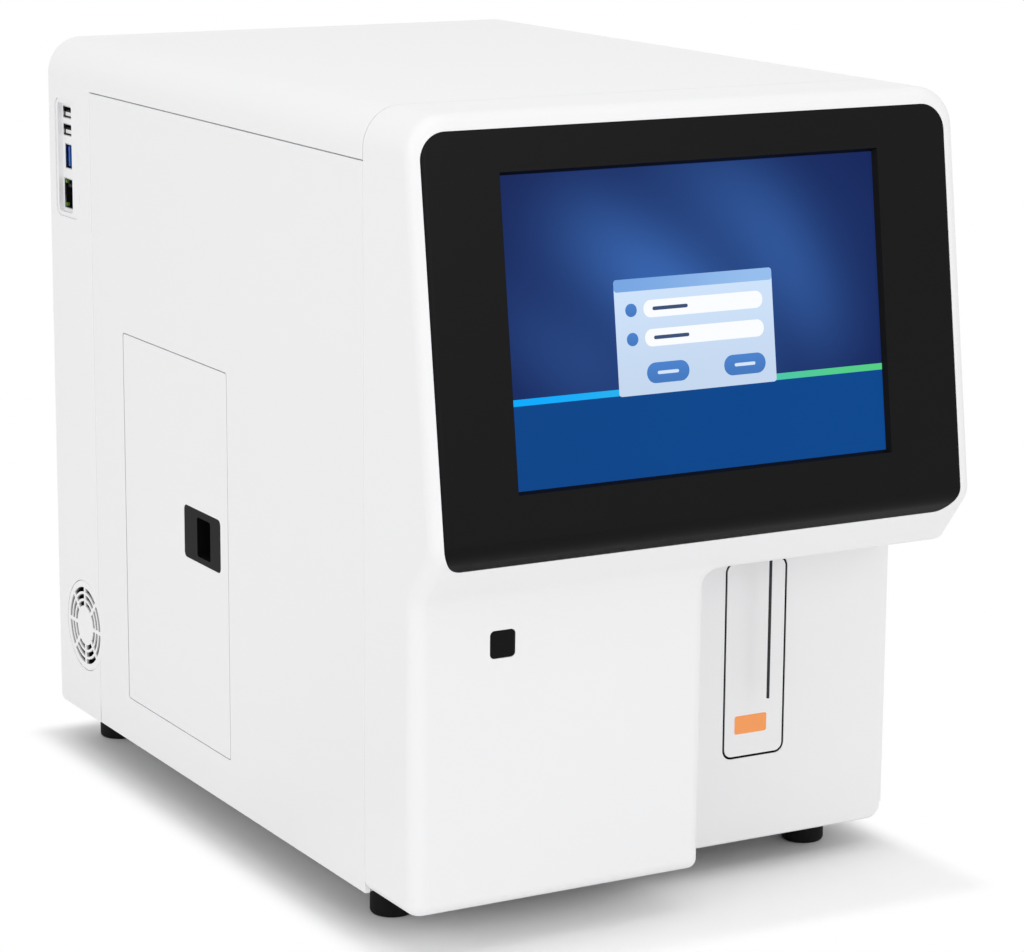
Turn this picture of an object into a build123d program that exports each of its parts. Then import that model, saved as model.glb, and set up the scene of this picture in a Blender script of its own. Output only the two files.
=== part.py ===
"""Bench-top hematology analyzer: white housing, tilted touch screen, open sampling alcove.

Millimetres, +Z up, the front faces -Y. Depths are given from the sharp corner of the
nose under the screen, before it is rounded. save() moves every piece so that the origin
lies under the middle of the machine, on the surface that it stands on.
"""
import math
import os

from build123d import *

os.makedirs("parts", exist_ok=True)

# Housing
WIDTH = 310.0
DEPTH = 476.0
HEIGHT = 413.0
WALL = 3.0
UNDERSIDE = 23.2
TOP_RADIUS = 20.0
PANEL_GAP = 0.5
PANEL_TOP = HEIGHT - 25.5
REAR_SEAM = DEPTH - 64.5
REAR_RADIUS = 6.0
REAR_FOOT_RADIUS = 11.0
SEAM_EDGE = 0.6

# Front cover
COVER_REAR = 73.5
TOP_SET_BACK = 28.0
NOSE_Z = HEIGHT - 204.8
NOSE_RADIUS = 12.0
KNEE_Y = 22.0
KNEE_Z = NOSE_Z - 27.7
KNEE_RADIUS = 14.0
LOWER_FRONT_Y = 23.2
COVER_BOTTOM = 24.6
FRONT_RADIUS = 8.0
HEAD_CORNER = 6.0
LOWER_CORNER = 5.0
MOULD_EDGE = 1.5

# Sampling alcove
ALCOVE_LEFT = 9.0
ALCOVE_WALL_Y = 73.0
ALCOVE_REAR = ALCOVE_WALL_Y + 2.6
ALCOVE_CEILING = KNEE_Z
ALCOVE_BOTTOM = 15.7
ALCOVE_RADIUS = 9.0
ALCOVE_CORNER = 8.0

# Screen
SCREEN_X = -1.5
BEZEL_HALF_WIDTH = 148.0
BEZEL_TOP_INSET = 8.3
BEZEL_DROP = 214.0
BEZEL_TOP_RADIUS = 13.0
BEZEL_LOWER_RADIUS = 12.0
BEZEL_FIT = 0.3
FLANGE = 2.0
FLANGE_REACH = 2.0
SCREEN_WIDTH = 211.2
SCREEN_HEIGHT = 149.0
SCREEN_TOP = 30.0
SCREEN_BEVEL = 1.5
GLASS_MARGIN = 7.5
GLASS_FIT = 0.3
MODULE_DEPTH = 8.0
MODULE_MARGIN = 9.5
BRACKET = 1.5
BRACKET_MARGIN = 8.0

# Aspirate key
KEY_LEFT = 53.2
KEY_RIGHT = 91.3
KEY_BOTTOM = 61.6
KEY_TOP = ALCOVE_CEILING - 12.5
KEY_GAP = 1.3
KEY_RADIUS = 5.6
KEY_TRAVEL = 2.5
KEY_POST_RADIUS = 3.0
KEY_POST_SPREAD = 52.0
KEY_POST_MIDDLE = (KEY_BOTTOM + KEY_TOP) / 2 - 0.8
KEY_POST_Z = (KEY_POST_MIDDLE - KEY_POST_SPREAD / 2, KEY_POST_MIDDLE + KEY_POST_SPREAD / 2)
KEY_HOUSING_DEPTH = 17.0
KEY_HOUSING_MARGIN = 4.6

# Power button
BUTTON_X = -106.5
BUTTON_Z = KNEE_Z - 23.2
BUTTON_SIZE = 14.0
BUTTON_GAP = 0.3
BUTTON_RADIUS = 2.5
BUTTON_TRAVEL = 1.5
BUTTON_DEPTH = 9.0
BUTTON_HOUSING = 22.0

# Side door
DOOR_REAR = REAR_SEAM - 43.5
DOOR_FRONT = DOOR_REAR - 136.0
DOOR_BOTTOM = 49.4
DOOR_TOP = HEIGHT - 154.8
DOOR_GAP = 0.6
DOOR_HINGE_GAP = 1.1
DOOR_SKIN = 2.6
DOOR_RIB = 6.0
HINGE_SET_BACK = 12.0
HINGE_INSET = 4.8
HINGE_PIN_RADIUS = 1.5
HINGE_BOSS = 10.0
HINGE_BRACKET = 10.0
RUNNING_FIT = 0.05

# Door pull
PULL_FRONT = DOOR_FRONT + 9.4
PULL_REAR = DOOR_FRONT + 56.2
PULL_BOTTOM = DOOR_TOP - 109.2
PULL_TOP = DOOR_TOP - 80.2
PULL_RADIUS = 3.0
POCKET_FRONT = PULL_FRONT + 13.1
POCKET_REAR = PULL_FRONT + 30.1
POCKET_BOTTOM = PULL_BOTTOM + 3.4
POCKET_TOP = PULL_TOP - 4.0
POCKET_DEPTH = 11.0

# Ports in the left side
PORT_Y = DEPTH - 29.5
PORT_WIDTH = 33.0
PORT_TOP = HEIGHT - 33.0
PORT_BOTTOM = PORT_TOP - 67.0
PORT_DEPTH = 3.8
PORT_RADIUS = 5.0
PORT_RIM = 0.8
DISH_DEPTH = 0.9
SOCKET_Y = PORT_Y + 5.6
SOCKET_POCKET = 10.0

# Fan
FAN_Y = DEPTH - 43.5
FAN_Z = 76.2
GRILLE_RADIUS = 26.5
FAN_SIZE = 60.0
FAN_DEPTH = 15.0
FAN_BLADES = 7

# Feet
FOOT_RADIUS = 11.3
FOOT_INSET = 30.0
FOOT_FRONT = 102.7
FOOT_REAR = DEPTH - 20.0

# Chassis
SHEET = 2.0
PLATE_X = 101.0
CARD_X = -58.0
FLOOR = UNDERSIDE + SHEET

# Sampling probe
PROBE_X = (KEY_LEFT + KEY_RIGHT) / 2
PROBE_Y = 60.0
PROBE_RADIUS = 0.8
PROBE_TIP = ALCOVE_CEILING - 84.0
PROBE_TRAVEL = 92.0
PROBE_TOP = ALCOVE_CEILING + 66.0
LIFT_BOTTOM = ALCOVE_CEILING + 26.0
LIFT_HEIGHT = 24.0
ROD_Y = PROBE_Y + 10.0
ROD_X = PROBE_X + 11.0
ROD_RADIUS = 3.0
SMALL_ROD_X = ROD_X + 11.0
SMALL_ROD_RADIUS = 2.0
PULLEY_Y = PROBE_Y + 33.0
PULLEY_RADIUS = 8.0
PULLEY_TOP = HEIGHT - 68.0
PULLEY_LOW = ALCOVE_CEILING + 27.0
BELT = 1.4
BELT_WIDTH = 6.0

WASH_NOZZLE = 4.0
WASH_HEIGHT = 14.0

# Rear panel
REAR_PANEL_Y = DEPTH - 19.0
REAR_X = (-125.0, 125.0)
REAR_Z = (60.0, HEIGHT - 62.0)
REAR_COLLAR = 2.5
REAR_CORNER = 5.0
PANEL_FOOT = 12.0
INLET_X = 88.0
INLET_Z = 96.0
FITTING_X = (-96.0, -66.0, -36.0, -6.0)
FITTING_Z = 110.0

# Reagent bay behind the side door
BAY_X = (-136.0, -60.0)
BAY_FRONT = DOOR_FRONT - 3.0
BAY_REAR = DOOR_REAR - 24.0
BAY_SHELF = 48.0
BAY_TOP = DOOR_TOP - 7.0
BOTTLE = 46.0
BOTTLE_DEPTH = 68.0
BOTTLE_HEIGHT = BAY_TOP - BAY_SHELF - 72.0
CAP_RADIUS = 14.0
CAP_HEIGHT = 16.0

# Counting baths
BATH_Y = (114.0, 150.0)
BATH_RADIUS = 13.0
BATH_WALL = 2.0
BATH_Z = (118.0, 176.0)

# Syringes
SYRINGE_Y = (165.0, 215.0)
SYRINGE_X = 124.0
SYRINGE_BORE = 6.0
SYRINGE_STROKE = 36.0

SYRINGE_FOOT = 140.0
SYRINGE_TOP = 260.0
ACTUATOR_ROD = 2.5
ACTUATOR_HEIGHT = 28.0

# Inner frame
PLATE_FRONT = 96.0
PLATE_REAR = REAR_SEAM - 75.0
PLATE_TOP = HEIGHT - 42.0
HEAD_FRONT = PROBE_Y + 2.0
HEAD_BOTTOM = ALCOVE_CEILING + 7.0
GUIDE_TOP = HEIGHT - 62.0
CARD_FRONT = 110.0
CARD_REAR = REAR_SEAM - 24.0
CARD_TOP = HEIGHT - 52.0
DECK_Y = (190.0, PLATE_REAR)
DECK_Z = 240.0
BOARD_Y = (CARD_REAR - 176.0, CARD_REAR - 10.0)
BOARD_Z = (BAY_TOP + 6.0, CARD_TOP - 8.0)
OPTICS_X = 15.0
OPTICS_SIZE = 110.0
VALVE_Y = (110.0, 250.0)
VALVE_Z = 60.0
PUMP_PLACE = (-20.0, 150.0)
MOTOR_BOSS = 11.0
PULLEY_X = PROBE_X + 17.0

CATCH_FRONT = DOOR_FRONT + 2.0
CATCH_REAR = DOOR_FRONT + 8.0
CATCH_Z = (DOOR_TOP - 61.0, DOOR_TOP - 35.0)
GRILLE_RINGS = 3
GRILLE_CENTRE = 11.6
GRILLE_PITCH = 4.15
GRILLE_SLOT = 2.7
GRILLE_SPOKE = 2.2
FAN_HUB = 12.0
FAN_SHAFT = 1.5
FAN_SCREWS = 25.0
FITTING_THREAD = 5.0
GROUND_X = 40.0
ROCKER_X = 9.0
ROCKER_DEPTH = 5.0
ROCKER_STUB = 1.5
ROCKER_TIP = 8.0

HALF = WIDTH / 2
INNER = HALF - WALL
HINGE_X = -HALF + HINGE_INSET
HINGE_Y = DOOR_REAR - HINGE_SET_BACK
ROCKER_Z = INLET_Z + 12
BELT_OUTER = PULLEY_RADIUS + 0.3 + BELT
LEAN = math.atan2(TOP_SET_BACK, HEIGHT - NOSE_Z)
UNDERCUT = math.atan2(KNEE_Y, NOSE_Z - KNEE_Z)
NOSE_FRONT = NOSE_RADIUS * ((math.sin(UNDERCUT) + math.sin(LEAN)) / math.sin(UNDERCUT + LEAN) - 1)
SCREEN_PLANE = Plane(
    origin=(SCREEN_X, TOP_SET_BACK, HEIGHT),
    x_dir=(1, 0, 0),
    z_dir=(0, -math.cos(LEAN), math.sin(LEAN)),
)


def save(shape, name):
    """Write one piece, with the origin under the middle of the machine."""
    export_step(Pos(0, -(NOSE_FRONT + DEPTH) / 2, 0) * shape, f"parts/{name}.step")


def block(x, y, z):
    """Box from (low, high) pairs."""
    size = (x[1] - x[0], y[1] - y[0], z[1] - z[0])
    centre = ((x[0] + x[1]) / 2, (y[0] + y[1]) / 2, (z[0] + z[1]) / 2)
    return Pos(*centre) * Box(*size)


def rod(radius, start, end):
    """Round bar between two points on a line along one axis."""
    line = Vector(*end) - Vector(*start)
    plane = Plane(origin=start, z_dir=line.normalized())
    return extrude(plane * Circle(radius), amount=line.length)


def plate_x(x, y, z, radius):
    """Plate standing across X, with its four corners rounded."""
    outline = RectangleRounded(y[1] - y[0], z[1] - z[0], radius)
    plane = Plane(origin=(x[0], (y[0] + y[1]) / 2, (z[0] + z[1]) / 2), x_dir=(0, 1, 0), z_dir=(1, 0, 0))
    return extrude(plane * outline, amount=x[1] - x[0])


def plate_y(x, y, z, radius):
    """Plate standing across Y, with its four corners rounded."""
    outline = RectangleRounded(x[1] - x[0], z[1] - z[0], radius)
    plane = Plane(origin=((x[0] + x[1]) / 2, y[0], (z[0] + z[1]) / 2), x_dir=(-1, 0, 0), z_dir=(0, 1, 0))
    return extrude(plane * outline, amount=y[1] - y[0])


def on_screen(width, top, bottom, front, back, radius=0.0):
    """Slab parallel to the screen: top and bottom run down the slant, front and back go in."""
    outline = Rectangle(width, bottom - top)
    if radius:
        outline = RectangleRounded(width, bottom - top, radius)
    slab = extrude(Pos(0, -(top + bottom) / 2, -back) * outline, amount=back - front)
    return SCREEN_PLANE * slab


# Housing


def section(inset, bottom):
    """Cross-section of the housing: flat sides and large rounded upper edges."""
    half = HALF - inset
    top = HEIGHT - inset
    corners = ((-half, bottom), (-half, top), (half, top), (half, bottom))
    outline = make_face(Plane.XZ * Polyline(*corners, close=True))
    upper = outline.vertices().sort_by(Axis.Z)[-2:]
    return fillet(upper, TOP_RADIUS - inset)


def front_form(inset, rear):
    """Outer form of the front cover, drawn in by an inset."""
    points = (
        (rear + inset, COVER_BOTTOM),
        (rear + inset, HEIGHT),
        (TOP_SET_BACK, HEIGHT),
        (0, NOSE_Z),
        (KNEE_Y, KNEE_Z),
        (LOWER_FRONT_Y, COVER_BOTTOM),
    )
    profile = make_face(Plane.YZ * Polyline(*points, close=True))
    if inset:
        profile = offset(profile, -inset, kind=Kind.INTERSECTION)
    nose = profile.vertices().sort_by(Axis.Y)[0]
    profile = fillet(nose, NOSE_RADIUS - inset)
    knee = profile.vertices().sort_by_distance((0, KNEE_Y + inset, KNEE_Z))[0]
    profile = fillet(knee, KNEE_RADIUS + inset)
    form = extrude(profile, amount=HALF - inset, both=True)
    form &= extrude(section(inset, 0), amount=-2 * DEPTH, both=True)
    side = form.edges().filter_by(lambda e: abs(e.center().X + HALF - inset) < 0.01)
    slanted = side.sort_by_distance((-HALF + inset, TOP_SET_BACK / 2, (NOSE_Z + HEIGHT) / 2))[0]
    return fillet(slanted, FRONT_RADIUS - inset)


def bezel_prism(grow):
    """Prism through the front, on the outline of the black screen surround."""
    height = BEZEL_DROP - BEZEL_TOP_INSET + 2 * grow
    width = 2 * (BEZEL_HALF_WIDTH + grow)
    outline = Pos(0, -(BEZEL_TOP_INSET + BEZEL_DROP) / 2, -30) * Rectangle(width, height)
    corners = outline.vertices().sort_by(Axis.Y)
    outline = fillet(corners[2:], BEZEL_TOP_RADIUS + grow)
    corners = outline.vertices().sort_by(Axis.Y)
    outline = fillet(corners[:2], BEZEL_LOWER_RADIUS + grow)
    return SCREEN_PLANE * extrude(outline, amount=60)


def alcove_space(grow):
    """Space of the sampling alcove, open at the front, the right and below."""
    size_x = HALF + 20 - ALCOVE_LEFT + grow
    space = block(
        (ALCOVE_LEFT - grow, ALCOVE_LEFT - grow + size_x),
        (-20, ALCOVE_WALL_Y + grow),
        (0, ALCOVE_CEILING + grow),
    )
    corner = space.edges().filter_by(Axis.Y).sort_by_distance((ALCOVE_LEFT, 0, ALCOVE_CEILING))[0]
    return fillet(corner, ALCOVE_RADIUS + grow)


def alcove_wall():
    """Back wall of the alcove, which reaches down past the housing's underside."""
    wall = block(
        (ALCOVE_LEFT - WALL, HALF),
        (ALCOVE_WALL_Y, ALCOVE_REAR),
        (ALCOVE_BOTTOM, ALCOVE_CEILING + WALL),
    )
    corner = wall.edges().filter_by(Axis.Y).sort_by_distance((HALF, ALCOVE_WALL_Y, ALCOVE_BOTTOM))[0]
    wall = fillet(corner, ALCOVE_CORNER)
    side = wall.edges().filter_by(Axis.Z).sort_by_distance((HALF, ALCOVE_WALL_Y, ALCOVE_CEILING / 2))[0]
    return fillet(side, MOULD_EDGE)


def front_cover(outer, inner):
    """Moulded front: tilted head with the nose, lower left front and the alcove."""
    cover = outer - alcove_space(0)
    foot = cover.edges().filter_by(Axis.Y).sort_by_distance((ALCOVE_LEFT, LOWER_FRONT_Y, COVER_BOTTOM))[0]
    cover = fillet(foot, LOWER_CORNER)
    ceiling = cover.edges().filter_by(Axis.Y).sort_by_distance((HALF, COVER_REAR, ALCOVE_CEILING))[0]
    cover = fillet(ceiling, HEAD_CORNER)
    cover -= inner - alcove_space(WALL)
    cover += alcove_wall()
    cover -= bezel_prism(BEZEL_FIT) & block((-HALF, HALF), (-20, COVER_REAR - 20), (NOSE_Z - 20, HEIGHT))
    cover -= key_window()
    cover -= button_prism(0)
    below = (PROBE_X, PROBE_Y, ALCOVE_CEILING - 1)
    above = (PROBE_X, PROBE_Y, ALCOVE_CEILING + 9)
    return cover - rod(WASH_NOZZLE + 0.5, below, above)


def key_window():
    """Window of the aspirate key in the alcove's back wall."""
    y = (ALCOVE_WALL_Y - 5, ALCOVE_REAR + 5)
    return plate_y((KEY_LEFT, KEY_RIGHT), y, (KEY_BOTTOM, KEY_TOP), KEY_RADIUS)


def button_prism(shrink):
    """Prism of the power button, through the lower front."""
    half = BUTTON_SIZE / 2 - shrink
    x = (BUTTON_X - half, BUTTON_X + half)
    z = (BUTTON_Z - half, BUTTON_Z + half)
    return plate_y(x, (LOWER_FRONT_Y - 10, LOWER_FRONT_Y + BUTTON_DEPTH + 8), z, BUTTON_RADIUS - shrink)


def hood():
    """Top and rear moulding: rounded top, rear returns and the frame round the rear panel."""
    outer = extrude(section(0, UNDERSIDE), amount=DEPTH - COVER_REAR - PANEL_GAP, dir=(0, 1, 0))
    outer = Pos(0, COVER_REAR + PANEL_GAP, 0) * outer
    back = outer.faces().sort_by(Axis.Y)[-1]
    outer = fillet(back.edges().sort_by(Axis.Z)[1:], REAR_RADIUS)
    low = outer.edges().filter_by(Axis.X).sort_by_distance((0, DEPTH, UNDERSIDE))[0]
    outer = fillet(low, REAR_FOOT_RADIUS)
    inner = extrude(section(WALL, UNDERSIDE - 5), amount=DEPTH - WALL - COVER_REAR + 5, dir=(0, 1, 0))
    shell = outer - Pos(0, COVER_REAR - 5, 0) * inner
    shell -= block((-HALF, HALF), (0, REAR_SEAM), (0, PANEL_TOP))
    collar_y = (REAR_PANEL_Y + SHEET, DEPTH - WALL)
    collar_x = grow_pair(REAR_X, REAR_COLLAR)
    collar_z = grow_pair(REAR_Z, REAR_COLLAR)
    shell += plate_y(collar_x, collar_y, collar_z, REAR_CORNER + REAR_COLLAR)
    shell -= plate_y(REAR_X, (REAR_PANEL_Y, DEPTH + 5), REAR_Z, REAR_CORNER)
    shell -= port_prism(0)
    shell -= fan_hole()
    shell -= finger_dishes()
    seams = shell.edges().filter_by(lambda e: abs(abs(e.center().X) - HALF) < 0.01 and on_seam(e.center()))
    return fillet(seams, SEAM_EDGE)


def on_seam(place):
    """Whether a point lies on the seam above or behind the side panels."""
    above = abs(place.Z - PANEL_TOP) < 0.01
    behind = abs(place.Y - REAR_SEAM) < 0.01
    return above or behind


def finger_dishes():
    """Shallow dishes beside the port recess, which make room for the fingers at the plugs."""
    dishes = Part()
    front = PORT_Y - PORT_WIDTH / 2
    for index, radius in ((0, 5.0), (2, 5.5), (3, 11.0)):
        level = port_sockets()[index][0]
        ball = (radius**2 + DISH_DEPTH**2) / (2 * DISH_DEPTH)
        dishes += Pos(-HALF - ball + DISH_DEPTH, front + 2, level) * Sphere(ball)
    return dishes


def grow_pair(pair, amount):
    """Widen a (low, high) pair on both sides."""
    return (pair[0] - amount, pair[1] + amount)


def around(middle, reach):
    """Make a (low, high) pair round a middle."""
    return (middle - reach, middle + reach)


def moved_up(place, distance):
    """Move a point up."""
    return (place[0], place[1], place[2] + distance)


def port_prism(shrink):
    """Prism of the port recess, through the left side."""
    half = PORT_WIDTH / 2 - shrink
    return plate_x(
        (-HALF - 5, -INNER + 5),
        (PORT_Y - half, PORT_Y + half),
        (PORT_BOTTOM + shrink, PORT_TOP - shrink),
        PORT_RADIUS - shrink,
    )


def fan_hole():
    """Round hole for the fan grille, across the seam of the left side."""
    return rod(GRILLE_RADIUS + 0.2, (-HALF - 5, FAN_Y, FAN_Z), (-INNER + 5, FAN_Y, FAN_Z))


def side_panel(side):
    """Flat side panel with a folded foot along the base plate."""
    y = (COVER_REAR + PANEL_GAP, REAR_SEAM - PANEL_GAP)
    x = sorted((side * HALF, side * INNER))
    foot_x = sorted((side * INNER, side * (INNER - PANEL_FOOT)))
    panel = block(x, y, (UNDERSIDE, PANEL_TOP - PANEL_GAP))
    panel += block(foot_x, grow_pair(y, -4), (FLOOR, FLOOR + SHEET))
    rib_z = (PANEL_TOP - 24, PANEL_TOP - 22)
    panel += block(foot_x, grow_pair(y, -12), rib_z)
    if side > 0:
        panel -= block(x, (y[0] - 1, ALCOVE_REAR + PANEL_GAP), (0, ALCOVE_CEILING + WALL + PANEL_GAP))
    outer = panel.edges().filter_by(lambda e: abs(e.center().X - side * HALF) < 0.01)
    return fillet(outer, SEAM_EDGE)


def left_panel():
    """Left side panel with the door opening and its share of the fan hole."""
    y = (DOOR_FRONT - DOOR_GAP, DOOR_REAR + DOOR_HINGE_GAP)
    z = (DOOR_BOTTOM - DOOR_GAP, DOOR_TOP + DOOR_GAP)
    return side_panel(-1) - plate_x((-HALF - 5, -INNER + 1), y, z, 2) - fan_hole()


def base_plate():
    """Folded base plate that the machine stands on."""
    plate = block((-INNER, INNER), (ALCOVE_REAR, DEPTH - REAR_FOOT_RADIUS), (UNDERSIDE, FLOOR))
    for x in (-95, 0, 125):
        for y in (180, 210, 240, 270, 300):
            plate -= Pos(x, y, 0) * block((-9, 9), (-2, 2), (UNDERSIDE - 1, FLOOR + 1))
    return plate


def feet():
    """Four rubber feet, each a turned pad with a rounded rim."""
    pads = []
    for x in (-HALF + FOOT_INSET, HALF - FOOT_INSET):
        for y in (FOOT_FRONT, FOOT_REAR):
            pad = rod(FOOT_RADIUS, (x, y, 0), (x, y, UNDERSIDE))
            pad = fillet(pad.edges().sort_by(Axis.Z)[0], 2)
            pads.append(pad - rod(4, (x, y, -1), (x, y, 5)))
    return Compound(pads)


# Screen


def screen_bezel(outer, inner, behind):
    """Black surround: a skin that follows the front over the nose, with a flange behind."""
    skin = (outer - inner) & bezel_prism(0)
    flange = (inner - behind) & bezel_prism(FLANGE_REACH)
    side = INNER - FLANGE - 0.2
    flange &= block((-side, side), (-20, COVER_REAR - 24), (NOSE_Z - 22, HEIGHT))
    glass = on_screen(
        SCREEN_WIDTH + 2 * (GLASS_MARGIN + GLASS_FIT),
        SCREEN_TOP - GLASS_MARGIN - GLASS_FIT,
        SCREEN_TOP + SCREEN_HEIGHT + GLASS_MARGIN + GLASS_FIT,
        WALL,
        WALL + FLANGE + 1,
    )
    bezel = skin + (flange - glass)
    mouth = Pos(0, -SCREEN_TOP - SCREEN_HEIGHT / 2, 0) * Rectangle(
        SCREEN_WIDTH + 2 * SCREEN_BEVEL, SCREEN_HEIGHT + 2 * SCREEN_BEVEL
    )
    bevel = math.degrees(math.atan(SCREEN_BEVEL / WALL))
    return bezel - SCREEN_PLANE * extrude(mouth, amount=-WALL, taper=bevel)


def touch_glass():
    """Touch glass behind the surround."""
    return on_screen(
        SCREEN_WIDTH + 2 * GLASS_MARGIN,
        SCREEN_TOP - GLASS_MARGIN,
        SCREEN_TOP + SCREEN_HEIGHT + GLASS_MARGIN,
        WALL,
        WALL + FLANGE,
    )


def display_module():
    """Liquid-crystal module on the back of the glass."""
    front = WALL + FLANGE
    module = on_screen(
        SCREEN_WIDTH + 2 * MODULE_MARGIN,
        SCREEN_TOP - MODULE_MARGIN,
        SCREEN_TOP + SCREEN_HEIGHT + MODULE_MARGIN,
        front,
        front + MODULE_DEPTH,
    )
    return module


def display_bracket():
    """Sheet bracket behind the module, with arms to the cover's side walls."""
    front = WALL + FLANGE + MODULE_DEPTH
    top = SCREEN_TOP - BRACKET_MARGIN
    bottom = SCREEN_TOP + SCREEN_HEIGHT + BRACKET_MARGIN
    sheet = on_screen(WIDTH, top, bottom, front, front + BRACKET)
    sheet &= block((-INNER, INNER), (0, DEPTH), (0, HEIGHT))
    sheet -= on_screen(150, top + 30, bottom - 30, front - 1, front + BRACKET + 1, 8)
    return sheet


# Sampling


def aspirate_key():
    """Long key behind the probe, on two guide posts."""
    x = (KEY_LEFT + KEY_GAP, KEY_RIGHT - KEY_GAP)
    z = (KEY_BOTTOM + KEY_GAP, KEY_TOP - KEY_GAP)
    key = plate_y(x, (ALCOVE_WALL_Y, ALCOVE_REAR), z, KEY_RADIUS - KEY_GAP)
    middle = (KEY_LEFT + KEY_RIGHT) / 2
    end = ALCOVE_REAR + KEY_HOUSING_DEPTH + 3
    for level in KEY_POST_Z:
        key += rod(KEY_POST_RADIUS, (middle, ALCOVE_REAR, level), (middle, end, level))
    return key


def key_housing():
    """Housing of the aspirate key, behind the alcove's wall."""
    x = grow_pair((KEY_LEFT, KEY_RIGHT), KEY_HOUSING_MARGIN)
    z = grow_pair((KEY_BOTTOM, KEY_TOP), KEY_HOUSING_MARGIN)
    y = (ALCOVE_REAR, ALCOVE_REAR + KEY_HOUSING_DEPTH)
    body = block(x, y, z) - block(grow_pair(x, -2), (y[0] - 1, y[1] - 3), grow_pair(z, -2))
    middle = (KEY_LEFT + KEY_RIGHT) / 2
    for level in KEY_POST_Z:
        body -= rod(KEY_POST_RADIUS + RUNNING_FIT, (middle, y[0], level), (middle, y[1] + 1, level))
    return body


def key_switch():
    """Small switch that the key presses on."""
    y = ALCOVE_REAR + KEY_HOUSING_DEPTH - 3
    middle = (KEY_LEFT + KEY_RIGHT) / 2
    level = sum(KEY_POST_Z) / 2
    body = block((middle - 10, middle + 10), (y - 6.5, y), (level - 5, level + 5))
    return body + block((middle - 6, middle - 4), (y - 9, y - 6.5), (level - 2, level + 2))


def power_button(outer):
    """Square power button, flush with the lower front."""
    face = outer & button_prism(BUTTON_GAP)
    stem = block(
        (BUTTON_X - 3, BUTTON_X + 3),
        (LOWER_FRONT_Y + BUTTON_DEPTH, LOWER_FRONT_Y + BUTTON_DEPTH + 6),
        (BUTTON_Z - 3, BUTTON_Z + 3),
    )
    return (face & block((-HALF, 0), (0, LOWER_FRONT_Y + BUTTON_DEPTH), (0, NOSE_Z))) + stem


def button_housing(inner):
    """Housing of the power button, against the inside of the lower front."""
    half = BUTTON_HOUSING / 2
    wall_y = LOWER_FRONT_Y
    body = block(
        (BUTTON_X - half, BUTTON_X + half),
        (wall_y, wall_y + BUTTON_DEPTH + 12),
        (BUTTON_Z - half, BUTTON_Z + half),
    )
    body -= button_prism(-0.3) & block((-HALF, 0), (0, LOWER_FRONT_Y + BUTTON_DEPTH + 2.2), (0, NOSE_Z))
    stem = block(
        (BUTTON_X - 3.2, BUTTON_X + 3.2),
        (wall_y, LOWER_FRONT_Y + BUTTON_DEPTH + 6 + BUTTON_TRAVEL + 0.5),
        (BUTTON_Z - 3.2, BUTTON_Z + 3.2),
    )
    return (body - stem) & inner


# Side door


def side_door():
    """Sheet door with folded edges and two pivot blocks on its rear side."""
    y = (DOOR_FRONT, DOOR_REAR)
    z = (DOOR_BOTTOM, DOOR_TOP)
    skin = (-HALF, -HALF + DOOR_SKIN)
    door = plate_x(skin, y, z, 1.5)
    rim = block((skin[1], skin[1] + DOOR_RIB), grow_pair(y, -3), grow_pair(z, -3))
    rim -= block((skin[1] - 1, skin[1] + DOOR_RIB + 1), grow_pair(y, -4.5), grow_pair(z, -4.5))
    rim -= block((skin[1], 0), (DOOR_FRONT, CATCH_REAR + 2), grow_pair(CATCH_Z, 2))
    door += rim
    for level in (DOOR_BOTTOM, DOOR_TOP - HINGE_BOSS):
        pivot = block(
            (skin[1], HINGE_X + 3.2),
            (HINGE_Y - 4, HINGE_Y + 4),
            (level, level + HINGE_BOSS),
        )
        door += pivot
    door -= hinge_pins()
    cut = plate_x((skin[0] - 1, skin[1] + 1), (PULL_FRONT, PULL_REAR), (PULL_BOTTOM, PULL_TOP), PULL_RADIUS)
    return door - cut


def hinge_pins():
    """Two pivot pins, pressed into the door's blocks."""
    low = rod(
        HINGE_PIN_RADIUS,
        (HINGE_X, HINGE_Y, DOOR_BOTTOM - DOOR_GAP - 7),
        (HINGE_X, HINGE_Y, DOOR_BOTTOM + HINGE_BOSS - 1),
    )
    high = rod(
        HINGE_PIN_RADIUS,
        (HINGE_X, HINGE_Y, DOOR_TOP - HINGE_BOSS + 1),
        (HINGE_X, HINGE_Y, DOOR_TOP + DOOR_GAP + 7),
    )
    return Compound([low, high])


def hinge_brackets():
    """Two brackets on the inside of the side panel, above and below the door."""
    brackets = []
    for z in (
        (DOOR_BOTTOM - DOOR_GAP - HINGE_BRACKET, DOOR_BOTTOM - DOOR_GAP),
        (DOOR_TOP + DOOR_GAP, DOOR_TOP + DOOR_GAP + HINGE_BRACKET),
    ):
        bracket = block((-INNER, HINGE_X + 5), (HINGE_Y - 7, HINGE_Y + 7), z)
        upright = bracket.edges().filter_by(Axis.Z).sort_by(Axis.X)[-2:]
        bracket = fillet(upright, 4)
        hole = (HINGE_X, HINGE_Y, z[0] - 1), (HINGE_X, HINGE_Y, z[1] + 1)
        brackets.append(bracket - rod(HINGE_PIN_RADIUS + RUNNING_FIT, *hole))
    return Compound(brackets)


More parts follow.
